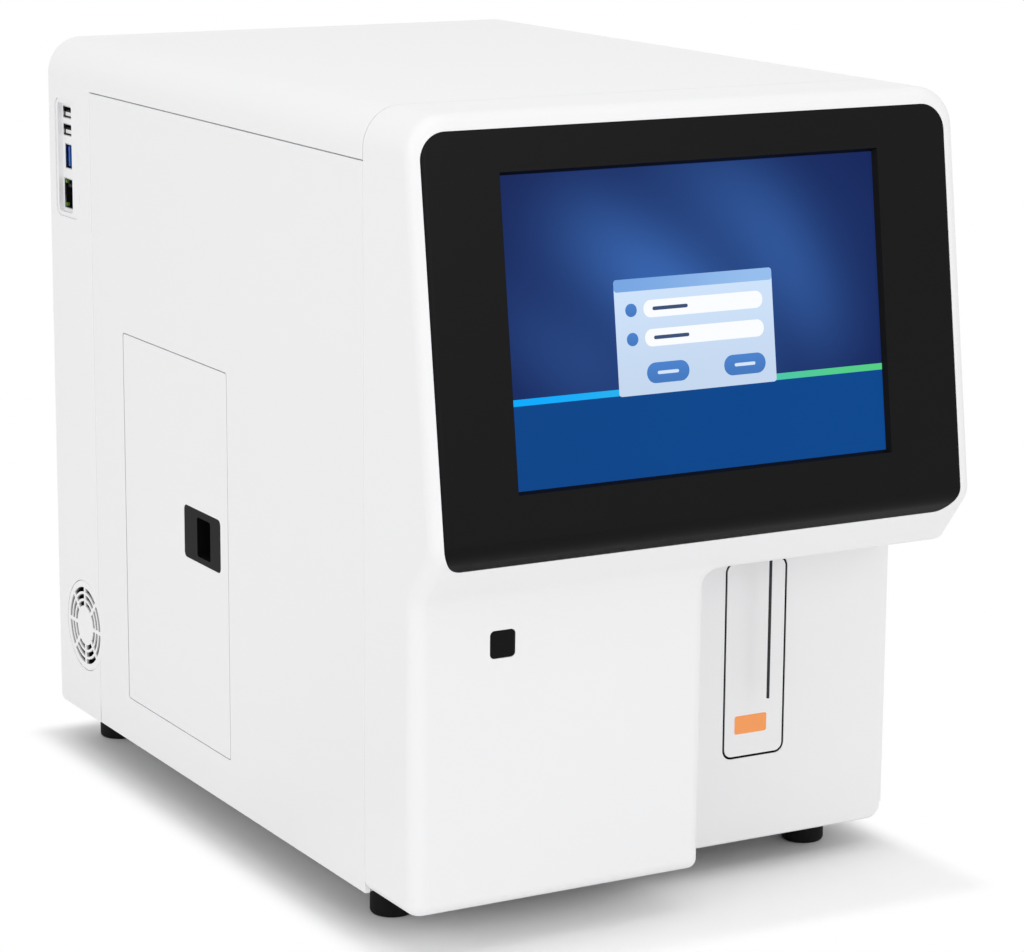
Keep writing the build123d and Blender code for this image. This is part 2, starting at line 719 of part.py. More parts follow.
def door_pull():
    """Black flush pull, with a finger pocket and clips behind the skin."""
    y = (PULL_FRONT, PULL_REAR)
    z = (PULL_BOTTOM, PULL_TOP)
    face = plate_x((-HALF, -HALF + DOOR_SKIN), grow_pair(y, -0.1), grow_pair(z, -0.1), PULL_RADIUS - 0.1)
    pocket_y = (POCKET_FRONT, POCKET_REAR)
    pocket_z = (POCKET_BOTTOM, POCKET_TOP)
    cup = plate_x(
        (-HALF + DOOR_SKIN, -HALF + POCKET_DEPTH + 2), grow_pair(pocket_y, 2), grow_pair(pocket_z, 2), 3
    )
    clips = plate_x((-HALF + DOOR_SKIN, -HALF + DOOR_SKIN + 1.5), grow_pair(y, 2), grow_pair(z, 2), 3)
    pocket = plate_x((-HALF - 1, -HALF + POCKET_DEPTH), pocket_y, pocket_z, 1.5)
    return face + cup + clips - pocket


def strike_plate():
    """Steel plate on the door's inside, for the magnet."""
    x = (-HALF + DOOR_SKIN, -HALF + DOOR_SKIN + 1.2)
    return plate_x(x, (CATCH_FRONT, CATCH_REAR), CATCH_Z, 2)


def catch_magnet():
    """Magnetic catch: holder on the side panel's inside, reaching behind the door."""
    magnet_x = (-HALF + DOOR_SKIN + 1.5, -HALF + DOOR_SKIN + 7.5)
    magnet = block(magnet_x, (DOOR_FRONT - 4, CATCH_REAR), CATCH_Z)
    holder = block((-INNER, magnet_x[1]), (DOOR_FRONT - 16, DOOR_FRONT - 2), grow_pair(CATCH_Z, 2))
    return magnet + holder


# Reagent bay


def reagent_bay():
    """Folded sheet bay for the reagent bottles, open towards the door and above."""
    bay = block(BAY_X, (BAY_FRONT, BAY_REAR), (FLOOR, BAY_TOP))
    inside_y = (BAY_FRONT + SHEET, BAY_REAR - SHEET)
    inside = block((BAY_X[0] - 5, BAY_X[1] - SHEET), inside_y, (BAY_SHELF, BAY_TOP + 5))
    below = block(
        (BAY_X[0] - 5, BAY_X[1] - SHEET),
        (BAY_FRONT + SHEET, BAY_REAR - SHEET),
        (FLOOR - 1, BAY_SHELF - SHEET),
    )
    bay -= inside
    bay -= below
    lip = block((BAY_X[0], BAY_X[0] + SHEET), inside_y, (BAY_SHELF, BAY_SHELF + 12))
    return bay + lip


def bottle_places():
    """Centres of the two bottles in the bay."""
    middle = (BAY_FRONT + BAY_REAR) / 2
    x = BAY_X[0] + SHEET + BOTTLE_DEPTH / 2 + 1
    return [(x, middle - BOTTLE / 2 - 2), (x, middle + BOTTLE / 2 + 2)]


def reagent_bottles():
    """Two square bottles with rounded shoulders and a neck."""
    bottles = []
    for x, y in bottle_places():
        body = block(
            (x - BOTTLE_DEPTH / 2, x + BOTTLE_DEPTH / 2),
            (y - BOTTLE / 2, y + BOTTLE / 2),
            (BAY_SHELF, BAY_SHELF + BOTTLE_HEIGHT),
        )
        body = fillet(body.edges().filter_by(Axis.Z), 8)
        body = fillet(body.edges().filter_by(lambda e: e.center().Z > BAY_SHELF + BOTTLE_HEIGHT - 1), 6)
        top = BAY_SHELF + BOTTLE_HEIGHT
        body += rod(CAP_RADIUS - 3, (x, y, top - 2), (x, y, top + CAP_HEIGHT))
        bottles.append(body)
    return Compound(bottles)


def bottle_caps():
    """Caps of the two bottles, each with a fitting for the pickup tube."""
    caps = []
    top = BAY_SHELF + BOTTLE_HEIGHT
    for x, y in bottle_places():
        cap = rod(CAP_RADIUS, (x, y, top), (x, y, top + CAP_HEIGHT + 2))
        cap = chamfer(cap.edges().sort_by(Axis.Z)[-1], 1.5)
        cap -= rod(CAP_RADIUS - 3, (x, y, top - 1), (x, y, top + CAP_HEIGHT))
        cap += rod(4, (x, y, top + CAP_HEIGHT + 2), (x, y, top + CAP_HEIGHT + 10))
        caps.append(cap)
    return Compound(caps)


def pickup_tubes():
    """Tubes from the caps to the bay's rear wall, bent once each."""
    tubes = []
    top = BAY_SHELF + BOTTLE_HEIGHT + CAP_HEIGHT + 10
    for x, y in bottle_places():
        path = FilletPolyline((x, y, top), (x, y, top + 28), (BAY_X[1] - SHEET, y, top + 28), radius=14)
        tubes.append(sweep(Plane(origin=(x, y, top), z_dir=(0, 0, 1)) * Circle(2), path=path))
    return Compound(tubes)


# Ports


def port_bay():
    """Moulded recess of the ports: a rim just below the side, with a deeper pocket at its rear."""
    half = PORT_WIDTH / 2
    y = (PORT_Y - half, PORT_Y + half)
    z = (PORT_BOTTOM, PORT_TOP)
    floor_x = -HALF + PORT_DEPTH
    bay_x = (-HALF + PORT_RIM, floor_x + 2)
    bay = plate_x(bay_x, grow_pair(y, -0.15), grow_pair(z, -0.15), PORT_RADIUS - 0.15)
    bay += plate_x((-INNER, floor_x + 2), grow_pair(y, 1.6), grow_pair(z, 2.5), PORT_RADIUS + 2)
    pocket = plate_x((-HALF - 5, floor_x), (y[0] + SOCKET_POCKET, y[1] - 2.8), grow_pair(z, -2.5), 2.5)
    bay -= pocket
    for place, size in port_sockets():
        socket_y = around(SOCKET_Y, size[0] / 2)
        bay -= block((floor_x - 1, floor_x + 3), socket_y, around(place, size[1] / 2))
    return bay


def port_sockets():
    """Height and outer size (across, high) of each socket, from the top."""
    return (
        (PORT_TOP - 8.0, (14.5, 7.2)),
        (PORT_TOP - 18.0, (14.5, 7.2)),
        (PORT_TOP - 33.0, (10.0, 14.5)),
        (PORT_TOP - 54.4, (14.5, 17.6)),
    )


def socket_shell(index, depth, tongue):
    """Metal socket with its tongue, set in the floor of the port bay."""
    place, size = port_sockets()[index]
    x = -HALF + PORT_DEPTH
    half_y, half_z = size[0] / 2, size[1] / 2
    shell = block((x, x + depth), (SOCKET_Y - half_y, SOCKET_Y + half_y), (place - half_z, place + half_z))
    shell -= block(
        (x - 1, x + depth - 1.5),
        around(SOCKET_Y, half_y - 0.6),
        around(place, half_z - 0.6),
    )
    tongue_z = (place + tongue[1], place + tongue[2])
    shell += block((x + 1, x + depth), around(SOCKET_Y, tongue[0] / 2), tongue_z)
    return shell


# Fan


def fan_grille():
    """Round grille: soft rim, three rings of slots between eight spokes, plain centre."""
    outer = (-HALF, FAN_Y, FAN_Z)
    back = (-INNER, FAN_Y, FAN_Z)
    disc = rod(GRILLE_RADIUS, outer, back)
    front_edge = disc.edges().sort_by(Axis.X)[0]
    disc = fillet(front_edge, 0.8)
    disc += rod(GRILLE_RADIUS + 3, back, (-INNER + 1.5, FAN_Y, FAN_Z))
    plane = Plane(origin=(-HALF - 5, FAN_Y, FAN_Z), x_dir=(0, 1, 0), z_dir=(1, 0, 0))
    slots = Sketch()
    for ring in range(GRILLE_RINGS):
        low = GRILLE_CENTRE + ring * GRILLE_PITCH
        slots += Circle(low + GRILLE_SLOT) - Circle(low)
    for turn in range(4):
        slots -= Rot(0, 0, 45 * turn) * Rectangle(4 * GRILLE_RADIUS, GRILLE_SPOKE)
    return disc - extrude(plane * slots, amount=12)


def fan_frame():
    """Square fan frame with a round duct, and the motor seat on four struts."""
    x = (-INNER + 1.5, -INNER + 1.5 + FAN_DEPTH)
    half = FAN_SIZE / 2
    y = (FAN_Y - half, FAN_Y + half)
    z = (FAN_Z - half, FAN_Z + half)
    frame = plate_x(x, y, z, 4)
    frame -= rod(half - 2, (x[0] - 1, FAN_Y, FAN_Z), (x[1] + 1, FAN_Y, FAN_Z))
    seat = rod(FAN_HUB, (x[1] - 3, FAN_Y, FAN_Z), (x[1], FAN_Y, FAN_Z))
    plane = Plane(origin=(x[1] - 2, FAN_Y, FAN_Z), x_dir=(0, 1, 0), z_dir=(1, 0, 0))
    for turn in range(2):
        seat += extrude(plane * Rot(0, 0, 45 + 90 * turn) * Rectangle(FAN_SIZE - 3, 3), amount=2)
    frame += seat
    for dy in (-FAN_SCREWS, FAN_SCREWS):
        for dz in (-FAN_SCREWS, FAN_SCREWS):
            frame -= rod(2, (x[0] - 1, FAN_Y + dy, FAN_Z + dz), (x[1] + 1, FAN_Y + dy, FAN_Z + dz))
    return frame - rod(FAN_SHAFT + RUNNING_FIT, (x[1] - 4, FAN_Y, FAN_Z), (x[1] + 1, FAN_Y, FAN_Z))


def fan_rotor():
    """Fan wheel: hub, curved blades and its shaft."""
    x = (-INNER + 3, -INNER + 1.5 + FAN_DEPTH - 3.4)
    hub = rod(FAN_HUB, (x[0], FAN_Y, FAN_Z), (x[1], FAN_Y, FAN_Z))
    hub = fillet(hub.edges().sort_by(Axis.X)[0], 1.5)
    end = (-INNER + 1.5 + FAN_DEPTH, FAN_Y, FAN_Z)
    wheel = hub + rod(FAN_SHAFT, (x[1] - 1, FAN_Y, FAN_Z), end)
    length = FAN_SIZE / 2 - 3.5 - FAN_HUB + 2
    for turn in range(FAN_BLADES):
        blade = Pos(0, 0, FAN_HUB - 2 + length / 2) * Rot(0, 0, 38) * Box(1.4, 11, length)
        blade = Rot(360 / FAN_BLADES * turn, 0, 0) * blade
        wheel += Pos((x[0] + x[1]) / 2, FAN_Y, FAN_Z) * blade
    return wheel


# Rear


def rear_panel():
    """Sheet rear panel, screwed against the collar of the moulding."""
    y = (REAR_PANEL_Y, REAR_PANEL_Y + SHEET)
    panel = plate_y(grow_pair(REAR_X, REAR_COLLAR), y, grow_pair(REAR_Z, REAR_COLLAR), REAR_CORNER)
    panel -= block(around(INLET_X, 14), grow_pair(y, 1), around(INLET_Z, 24))
    for x in FITTING_X:
        panel -= rod(FITTING_THREAD, (x, y[0] - 1, FITTING_Z), (x, y[1] + 1, FITTING_Z))
    for row in range(6):
        for column in range(9):
            slot = (20 + column * 10, REAR_Z[1] - 101 + row * 12)
            panel -= block(around(slot[0], 3), grow_pair(y, 1), around(slot[1], 1.5))
    panel -= rod(3, (GROUND_X, y[0] - 1, INLET_Z), (GROUND_X, y[1] + 1, INLET_Z))
    return panel


def power_inlet():
    """Mains inlet with three blades and a frame for the switch above it."""
    y = REAR_PANEL_Y + SHEET
    face = plate_y(around(INLET_X, 16), (y, y + 2.5), around(INLET_Z, 30), 3)
    body = block(
        around(INLET_X, 14), (y - 26, y), around(INLET_Z, 24)
    )
    inlet = face + body
    inlet -= plate_y(around(INLET_X, 12), (y - 14, y + 3), (INLET_Z - 21, INLET_Z - 4), 3)
    for dx, dz in ((-7, -15), (7, -15), (0, -9)):
        inlet += block(
            around(INLET_X + dx, 1), (y - 15, y - 4), around(INLET_Z + dz, 2)
        )
    inlet -= block(around(INLET_X, ROCKER_X + 0.4), (y - 12, y + 3), around(ROCKER_Z, 8.4))
    axis_y = y - ROCKER_DEPTH
    pin = (INLET_X - ROCKER_X - 3, axis_y, ROCKER_Z), (INLET_X + ROCKER_X + 3, axis_y, ROCKER_Z)
    return inlet - rod(ROCKER_STUB + RUNNING_FIT, *pin)


def rocker_switch():
    """Rocker of the mains switch, tipped to its off side on its own pivot stubs."""
    axis_y = REAR_PANEL_Y + SHEET - ROCKER_DEPTH
    points = ((-4, -5), (-4, 5), (3, 7.2), (6, 7.2), (8.5, 6.2), (6.6, 0), (8.5, -6.2), (6, -7.2), (3, -7.2))
    body = extrude(make_face(Plane.YZ * Polyline(*points, close=True)), amount=ROCKER_X, both=True)
    body += rod(ROCKER_STUB, (-ROCKER_X - 2.6, 0, 0), (ROCKER_X + 2.6, 0, 0))
    return Pos(INLET_X, axis_y, ROCKER_Z) * Rot(-ROCKER_TIP, 0, 0) * body


def fluid_fittings():
    """Four screwed hose fittings, each a hexagon body with a barb."""
    y = REAR_PANEL_Y + SHEET
    fittings = []
    for x in FITTING_X:
        hexagon = Plane(origin=(x, y, FITTING_Z), z_dir=(0, 1, 0)) * RegularPolygon(8, 6)
        body = extrude(hexagon, amount=4)
        body += rod(FITTING_THREAD, (x, y - 12, FITTING_Z), (x, y, FITTING_Z))
        body += rod(4, (x, y + 4, FITTING_Z), (x, y + 14, FITTING_Z))
        tip = Plane(origin=(x, y + 10, FITTING_Z), z_dir=(0, 1, 0))
        body += extrude(tip * Circle(5.2), amount=3, taper=20)
        fittings.append(body - rod(2, (x, y - 13, FITTING_Z), (x, y + 15, FITTING_Z)))
    return Compound(fittings)


def ground_stud():
    """Stud for the equipotential wire, with its nut."""
    y = REAR_PANEL_Y + SHEET
    stud = rod(3, (GROUND_X, y - 8, INLET_Z), (GROUND_X, y + 12, INLET_Z))
    hexagon = Plane(origin=(GROUND_X, y, INLET_Z), z_dir=(0, 1, 0)) * RegularPolygon(5.5, 6)
    return stud + extrude(hexagon, amount=4)


# Inner frame


def fluidics_plate():
    """Upright plate that carries the probe drive, the baths and the syringes."""
    x = (PLATE_X, PLATE_X + SHEET)
    plate = block(x, (PLATE_FRONT, PLATE_REAR), (FLOOR, PLATE_TOP))
    plate += block(x, (HEAD_FRONT, PLATE_FRONT + 1), (HEAD_BOTTOM, PLATE_TOP))
    plate += block((x[1], x[1] + 10), (PLATE_FRONT, PLATE_REAR), (FLOOR, FLOOR + SHEET))
    plate -= plate_x(grow_pair(x, 1), (PLATE_REAR - 70, PLATE_REAR - 20), (120, 220), 10)
    shaft = (PULLEY_Y, PULLEY_TOP)
    return plate - rod(MOTOR_BOSS, (x[0] - 1, *shaft), (x[1] + 1, *shaft))


def card_plate():
    """Upright plate between the reagent bay and the fluid side, for the main board."""
    x = (CARD_X, CARD_X + SHEET)
    plate = block(x, (CARD_FRONT, CARD_REAR), (FLOOR, CARD_TOP))
    plate -= plate_x(grow_pair(x, 1), (CARD_FRONT + 14, 205), (60, 200), 10)
    return plate + block((x[1], x[1] + 10), (CARD_FRONT, CARD_REAR), (FLOOR, FLOOR + SHEET))


def deck():
    """Shelf between the two upright plates, under the optical unit."""
    return block((CARD_X + SHEET, PLATE_X), DECK_Y, (DECK_Z, DECK_Z + SHEET))


# Probe


def probe_guide():
    """Two guide rods between end blocks that are screwed to the upright plate."""
    x = (ROD_X - 5, PLATE_X)
    y = (HEAD_FRONT, ROD_Y + 7)
    guide = block(x, y, (HEAD_BOTTOM, HEAD_BOTTOM + 6)) + block(x, y, (GUIDE_TOP, GUIDE_TOP + 6))
    guide += rod(ROD_RADIUS, (ROD_X, ROD_Y, HEAD_BOTTOM + 1), (ROD_X, ROD_Y, GUIDE_TOP + 5))
    foot = (SMALL_ROD_X, ROD_Y, HEAD_BOTTOM + 1)
    head = (SMALL_ROD_X, ROD_Y, GUIDE_TOP + 5)
    return guide + rod(SMALL_ROD_RADIUS, foot, head)


def probe_lift():
    """Slide that carries the probe along the rods, with an arm to the belt."""
    z = (LIFT_BOTTOM, LIFT_BOTTOM + LIFT_HEIGHT)
    lift = block((ROD_X - 6, SMALL_ROD_X + 4), (ROD_Y - 6, ROD_Y + 6), z)
    lift += block((PROBE_X - 6, ROD_X - 5), (PROBE_Y - 6, ROD_Y + 6), (z[0] + 4, z[1] - 4))
    clamp_y = (ROD_Y + 5, PULLEY_Y - BELT_OUTER - 0.3)
    lift += block((PULLEY_X, PULLEY_X + BELT_WIDTH), clamp_y, (z[0] + 6, z[1] - 6))
    lift -= rod(ROD_RADIUS + RUNNING_FIT, (ROD_X, ROD_Y, z[0] - 1), (ROD_X, ROD_Y, z[1] + 1))
    bore = SMALL_ROD_RADIUS + RUNNING_FIT
    lift -= rod(bore, (SMALL_ROD_X, ROD_Y, z[0] - 1), (SMALL_ROD_X, ROD_Y, z[1] + 1))
    return lift - rod(PROBE_RADIUS + 0.02, (PROBE_X, PROBE_Y, z[0] - 1), (PROBE_X, PROBE_Y, z[1] + 1))


def sample_probe():
    """Steel needle with a side port near its tip and a hose nipple above the slide."""
    probe = rod(PROBE_RADIUS, (PROBE_X, PROBE_Y, PROBE_TIP), (PROBE_X, PROBE_Y, PROBE_TOP))
    top = LIFT_BOTTOM + LIFT_HEIGHT - 4
    return probe + rod(2.2, (PROBE_X, PROBE_Y, top), (PROBE_X, PROBE_Y, top + 9))


def wash_block():
    """Block on the alcove's ceiling that rinses the probe, with its nozzle in the ceiling hole."""
    z = ALCOVE_CEILING + WALL
    wash = block((PROBE_X - 7, ROD_X - 5), (PROBE_Y - 8, PROBE_Y + 8), (z, z + WASH_HEIGHT))
    wash += rod(WASH_NOZZLE, (PROBE_X, PROBE_Y, z - 6), (PROBE_X, PROBE_Y, z + 1))
    wash += rod(1.6, (PROBE_X - 12, PROBE_Y, z + 8), (PROBE_X - 6, PROBE_Y, z + 8))
    return wash - rod(PROBE_RADIUS + 0.4, (PROBE_X, PROBE_Y, z - 7), (PROBE_X, PROBE_Y, z + WASH_HEIGHT + 1))


def pulley(level):
    """Toothed pulley with two flanges."""
    x = PULLEY_X - 1
    wheel = rod(PULLEY_RADIUS, (x, PULLEY_Y, level), (x + BELT_WIDTH + 2, PULLEY_Y, level))
    for face in (x, x + BELT_WIDTH + 1.2):
        wheel += rod(PULLEY_RADIUS + 2, (face, PULLEY_Y, level), (face + 0.8, PULLEY_Y, level))
    return wheel


def drive_pulley():
    """Pulley on the motor's shaft."""
    start = (PULLEY_X - 3, PULLEY_Y, PULLEY_TOP)
    return pulley(PULLEY_TOP) + rod(2.5, start, (PLATE_X + SHEET + 12, PULLEY_Y, PULLEY_TOP))


def idler_pulley():
    """Pulley that turns freely on the idler pin."""
    x = PULLEY_X - 2
    bore = rod(2 + RUNNING_FIT, (x, PULLEY_Y, PULLEY_LOW), (x + 20, PULLEY_Y, PULLEY_LOW))
    return pulley(PULLEY_LOW) - bore


def idler_pin():
    """Pin of the idler, riveted to the upright plate."""
    pin = rod(2, (PULLEY_X - 3, PULLEY_Y, PULLEY_LOW), (PLATE_X, PULLEY_Y, PULLEY_LOW))
    pin += rod(3, (PULLEY_X - 3, PULLEY_Y, PULLEY_LOW), (PULLEY_X - 1.3, PULLEY_Y, PULLEY_LOW))
    return pin + rod(4, (PULLEY_X + BELT_WIDTH + 1.3, PULLEY_Y, PULLEY_LOW), (PLATE_X, PULLEY_Y, PULLEY_LOW))


def probe_belt():
    """Flat belt round both pulleys."""
    middle = (PULLEY_TOP + PULLEY_LOW) / 2
    plane = Plane(origin=(PULLEY_X, PULLEY_Y, middle), x_dir=(0, 0, 1), z_dir=(1, 0, 0))
    length = PULLEY_TOP - PULLEY_LOW
    loop = SlotCenterToCenter(length, 2 * BELT_OUTER) - SlotCenterToCenter(length, 2 * (BELT_OUTER - BELT))
    return extrude(plane * loop, amount=BELT_WIDTH)


def probe_motor():
    """Stepper motor on the far side of the upright plate."""
    x = PLATE_X + SHEET
    half = 17.5
    motor = plate_x((x, x + 30), around(PULLEY_Y, half), around(PULLEY_TOP, half), 4)
    motor += rod(MOTOR_BOSS - 0.2, (x - 1.6, PULLEY_Y, PULLEY_TOP), (x + 1, PULLEY_Y, PULLEY_TOP))
    return motor - rod(2.5 + RUNNING_FIT, (x - 3, PULLEY_Y, PULLEY_TOP), (x + 13, PULLEY_Y, PULLEY_TOP))


# Fluid side


def counting_baths():
    """Two clear counting baths, each with a conical floor and a drain."""
    baths = []
    for y in BATH_Y:
        cup = rod(BATH_RADIUS, (PROBE_X, y, BATH_Z[0]), (PROBE_X, y, BATH_Z[1]))
        cup += Pos(PROBE_X, y, BATH_Z[0] - 5) * Cone(4, BATH_RADIUS, 10)
        cup -= rod(BATH_RADIUS - BATH_WALL, (PROBE_X, y, BATH_Z[0] + 2), (PROBE_X, y, BATH_Z[1] + 1))
        cup += rod(2.5, (PROBE_X, y, BATH_Z[0] - 20), (PROBE_X, y, BATH_Z[0] - 9))
        baths.append(cup)
    return Compound(baths)


def bath_bracket():
    """Bracket that holds the baths, on the upright plate."""
    y = (BATH_Y[0] - BATH_RADIUS - 3, BATH_Y[1] + BATH_RADIUS + 4)
    bracket = block((PROBE_X - BATH_RADIUS - 3, PLATE_X), y, (150, 155))
    bracket += block((PLATE_X - 5, PLATE_X), y, (140, 165))
    for place in BATH_Y:
        bracket -= rod(BATH_RADIUS + 0.02, (PROBE_X, place, 140), (PROBE_X, place, 170))
    return bracket


def syringe_frame():
    """Frame on the upright plate with the seats of the barrels and motors."""
    x = (PLATE_X + SHEET, SYRINGE_X + 14)
    y = (SYRINGE_Y[0] - 22, SYRINGE_Y[1] + 22)
    frame = block((x[0], x[0] + 3), y, (SYRINGE_FOOT, SYRINGE_TOP + 8))
    for z in ((SYRINGE_FOOT, SYRINGE_FOOT + 4), (SYRINGE_TOP - 12, SYRINGE_TOP)):
        frame += block(x, y, z)
    for place in SYRINGE_Y:
        foot = (SYRINGE_X, place, SYRINGE_FOOT)
        head = (SYRINGE_X, place, SYRINGE_TOP)
        frame -= rod(ACTUATOR_ROD + 1, moved_up(foot, -1), moved_up(foot, 5))
        frame -= rod(SYRINGE_BORE + 2.02, moved_up(head, -13), moved_up(head, 1))
    return frame


def syringe_barrels():
    """Two glass barrels with a nozzle at the upper end."""
    barrels = []
    for y in SYRINGE_Y:
        barrel = rod(SYRINGE_BORE + 2, (SYRINGE_X, y, SYRINGE_TOP - 14), (SYRINGE_X, y, SYRINGE_TOP + 50))
        barrel += rod(2.5, (SYRINGE_X, y, SYRINGE_TOP + 49), (SYRINGE_X, y, SYRINGE_TOP + 58))
        barrel -= rod(SYRINGE_BORE, (SYRINGE_X, y, SYRINGE_TOP - 15), (SYRINGE_X, y, SYRINGE_TOP + 47))
        barrels.append(barrel)
    return Compound(barrels)


def syringe_motors():
    """Two linear stepper motors on the frame's foot."""
    motors = []
    z = (SYRINGE_FOOT + 4, SYRINGE_FOOT + 4 + ACTUATOR_HEIGHT)
    for y in SYRINGE_Y:
        motor = block((SYRINGE_X - 14, SYRINGE_X + 14), (y - 14, y + 14), z)
        motor = fillet(motor.edges().filter_by(Axis.Z), 3)
        bore = rod(ACTUATOR_ROD + RUNNING_FIT, (SYRINGE_X, y, z[0] - 1), (SYRINGE_X, y, z[1] + 1))
        motors.append(motor - bore)
    return Compound(motors)


def syringe_plunger(y):
    """Plunger head on its rod, which runs down through the motor."""
    seat = SYRINGE_TOP - 8
    plunger = rod(SYRINGE_BORE - RUNNING_FIT, (SYRINGE_X, y, seat), (SYRINGE_X, y, seat + 8))
    low = SYRINGE_FOOT + 4 - SYRINGE_STROKE - 2
    return plunger + rod(ACTUATOR_ROD, (SYRINGE_X, y, low), (SYRINGE_X, y, seat + 1))


def valve_bank():
    """Manifold with a row of solenoid valves, low on the upright plate."""
    x = PLATE_X + SHEET
    bank = block((x, x + 14), VALVE_Y, (VALVE_Z, VALVE_Z + 34))
    count = 6
    pitch = (VALVE_Y[1] - VALVE_Y[0]) / count
    for index in range(count):
        y = VALVE_Y[0] + pitch * (index + 0.5)
        bank += block((x + 13, x + 36), (y - 8, y + 8), (VALVE_Z + 4, VALVE_Z + 26))
        bank += rod(2, (x + 7, y, VALVE_Z + 33), (x + 7, y, VALVE_Z + 42))
    return bank


def vacuum_pump():
    """Diaphragm pump with its motor, on the base plate."""
    x, y = PUMP_PLACE
    pump = block((x - 22, x + 22), (y - 30, y + 30), (FLOOR, FLOOR + 8))
    pump += rod(19, (x, y - 28, FLOOR + 27), (x, y + 12, FLOOR + 27))
    pump += block((x - 20, x + 20), (y + 11, y + 30), (FLOOR + 7, FLOOR + 56))
    for side in (-9, 9):
        pump += rod(3, (x + side, y + 20, FLOOR + 55), (x + side, y + 20, FLOOR + 66))
    return pump


def optical_unit():
    """Closed optical bench with the laser tube and the flow cell housing."""
    z = DECK_Z + SHEET
    middle = sum(DECK_Y) / 2
    x = around(OPTICS_X, OPTICS_SIZE / 2)
    bench = block(x, around(middle, OPTICS_SIZE * 0.45), (z, z + 12))
    bench += block(grow_pair(x, -10), around(middle, OPTICS_SIZE * 0.36), (z + 11, z + 60))
    bench += rod(12, (x[0] + 16, middle, z + 36), (x[0] - 12, middle, z + 36))
    return bench + block((OPTICS_X - 15, OPTICS_X + 15), (middle - 20, middle + 20), (z + 59, z + 78))


def main_board():
    """Main board on its spacers, with the larger chips and plug rows."""
    x = CARD_X - 8
    board = block((x - 1.6, x), BOARD_Y, BOARD_Z)
    for y in (BOARD_Y[0] + 8, BOARD_Y[1] - 8):
        for z in (BOARD_Z[0] + 8, BOARD_Z[1] - 8):
            board += rod(3, (x - 0.5, y, z), (CARD_X, y, z))
    middle = (BOARD_Y[0] + BOARD_Y[1]) / 2
    board += block((x - 4.6, x - 1), around(middle, 16), around(BOARD_Z[0] + 26, 16))
    for index in range(4):
        y = BOARD_Y[0] + 20 + 26 * index
        board += block((x - 9, x - 1), (y, y + 18), (BOARD_Z[1] - 22, BOARD_Z[1] - 14))
    return board


def build():
    outer = front_form(0, COVER_REAR)
    inner = front_form(WALL, COVER_REAR + 30)
    behind = front_form(WALL + FLANGE, COVER_REAR + 30)
    button = power_button(outer)
    return {
        "front_cover": front_cover(outer, inner),
        "hood": hood(),
        "left_side_panel": left_panel(),
        "right_side_panel": side_panel(1),
        "base_plate": base_plate(),
        "feet": feet(),
        "screen_bezel": screen_bezel(outer, inner, behind),
        "touch_glass": touch_glass(),
        "display_module": display_module(),
        "display_bracket": display_bracket(),
        "aspirate_key": aspirate_key(),
        "key_housing": key_housing(),
        "key_switch": key_switch(),
        "power_button": button,
        "button_housing": button_housing(inner),
        "side_door": side_door(),
        "hinge_pins": hinge_pins(),
        "hinge_brackets": hinge_brackets(),
        "door_pull": door_pull(),
        "strike_plate": strike_plate(),
        "catch_magnet": catch_magnet(),
        "reagent_bay": reagent_bay(),
        "reagent_bottles": reagent_bottles(),
        "bottle_caps": bottle_caps(),
        "pickup_tubes": pickup_tubes(),
        "port_bay": port_bay(),
        "usb_ports": Compound([socket_shell(0, 12, (10, -0.8, 1.0)), socket_shell(1, 12, (10, -0.8, 1.0))]),
        "usb3_port": socket_shell(2, 12, (1.8, -5.5, 5.5)),
        "ethernet_port": socket_shell(3, 14, (7, 3.6, 5.4)),
        "fan_grille": fan_grille(),
        "fan_frame": fan_frame(),
        "fan_rotor": fan_rotor(),
        "rear_panel": rear_panel(),
        "power_inlet": power_inlet(),
        "rocker_switch": rocker_switch(),
        "fluid_fittings": fluid_fittings(),
        "ground_stud": ground_stud(),
        "fluidics_plate": fluidics_plate(),
        "card_plate": card_plate(),
        "deck": deck(),
        "probe_guide": probe_guide(),
        "probe_lift": probe_lift(),
        "sample_probe": sample_probe(),
        "wash_block": wash_block(),
        "drive_pulley": drive_pulley(),
        "idler_pulley": idler_pulley(),
        "idler_pin": idler_pin(),
        "probe_belt": probe_belt(),
        "probe_motor": probe_motor(),
        "counting_baths": counting_baths(),
        "bath_bracket": bath_bracket(),
        "syringe_frame": syringe_frame(),
        "syringe_barrels": syringe_barrels(),
        "syringe_motors": syringe_motors(),
        "sample_plunger": syringe_plunger(SYRINGE_Y[0]),
        "diluent_plunger": syringe_plunger(SYRINGE_Y[1]),
        "valve_bank": valve_bank(),
        "vacuum_pump": vacuum_pump(),
        "optical_unit": optical_unit(),
        "main_board": main_board(),
    }


if __name__ == "__main__":
    for name, piece in build().items():
        save(piece, name)
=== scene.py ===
"""Bench-top hematology analyzer: finishes, screen, small fittings and studio.

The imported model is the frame. Every piece made here takes its place from it,
in metres, and rides on one of its bodies.
"""
import math

import bmesh
import bpy
from mathutils import Matrix, Vector


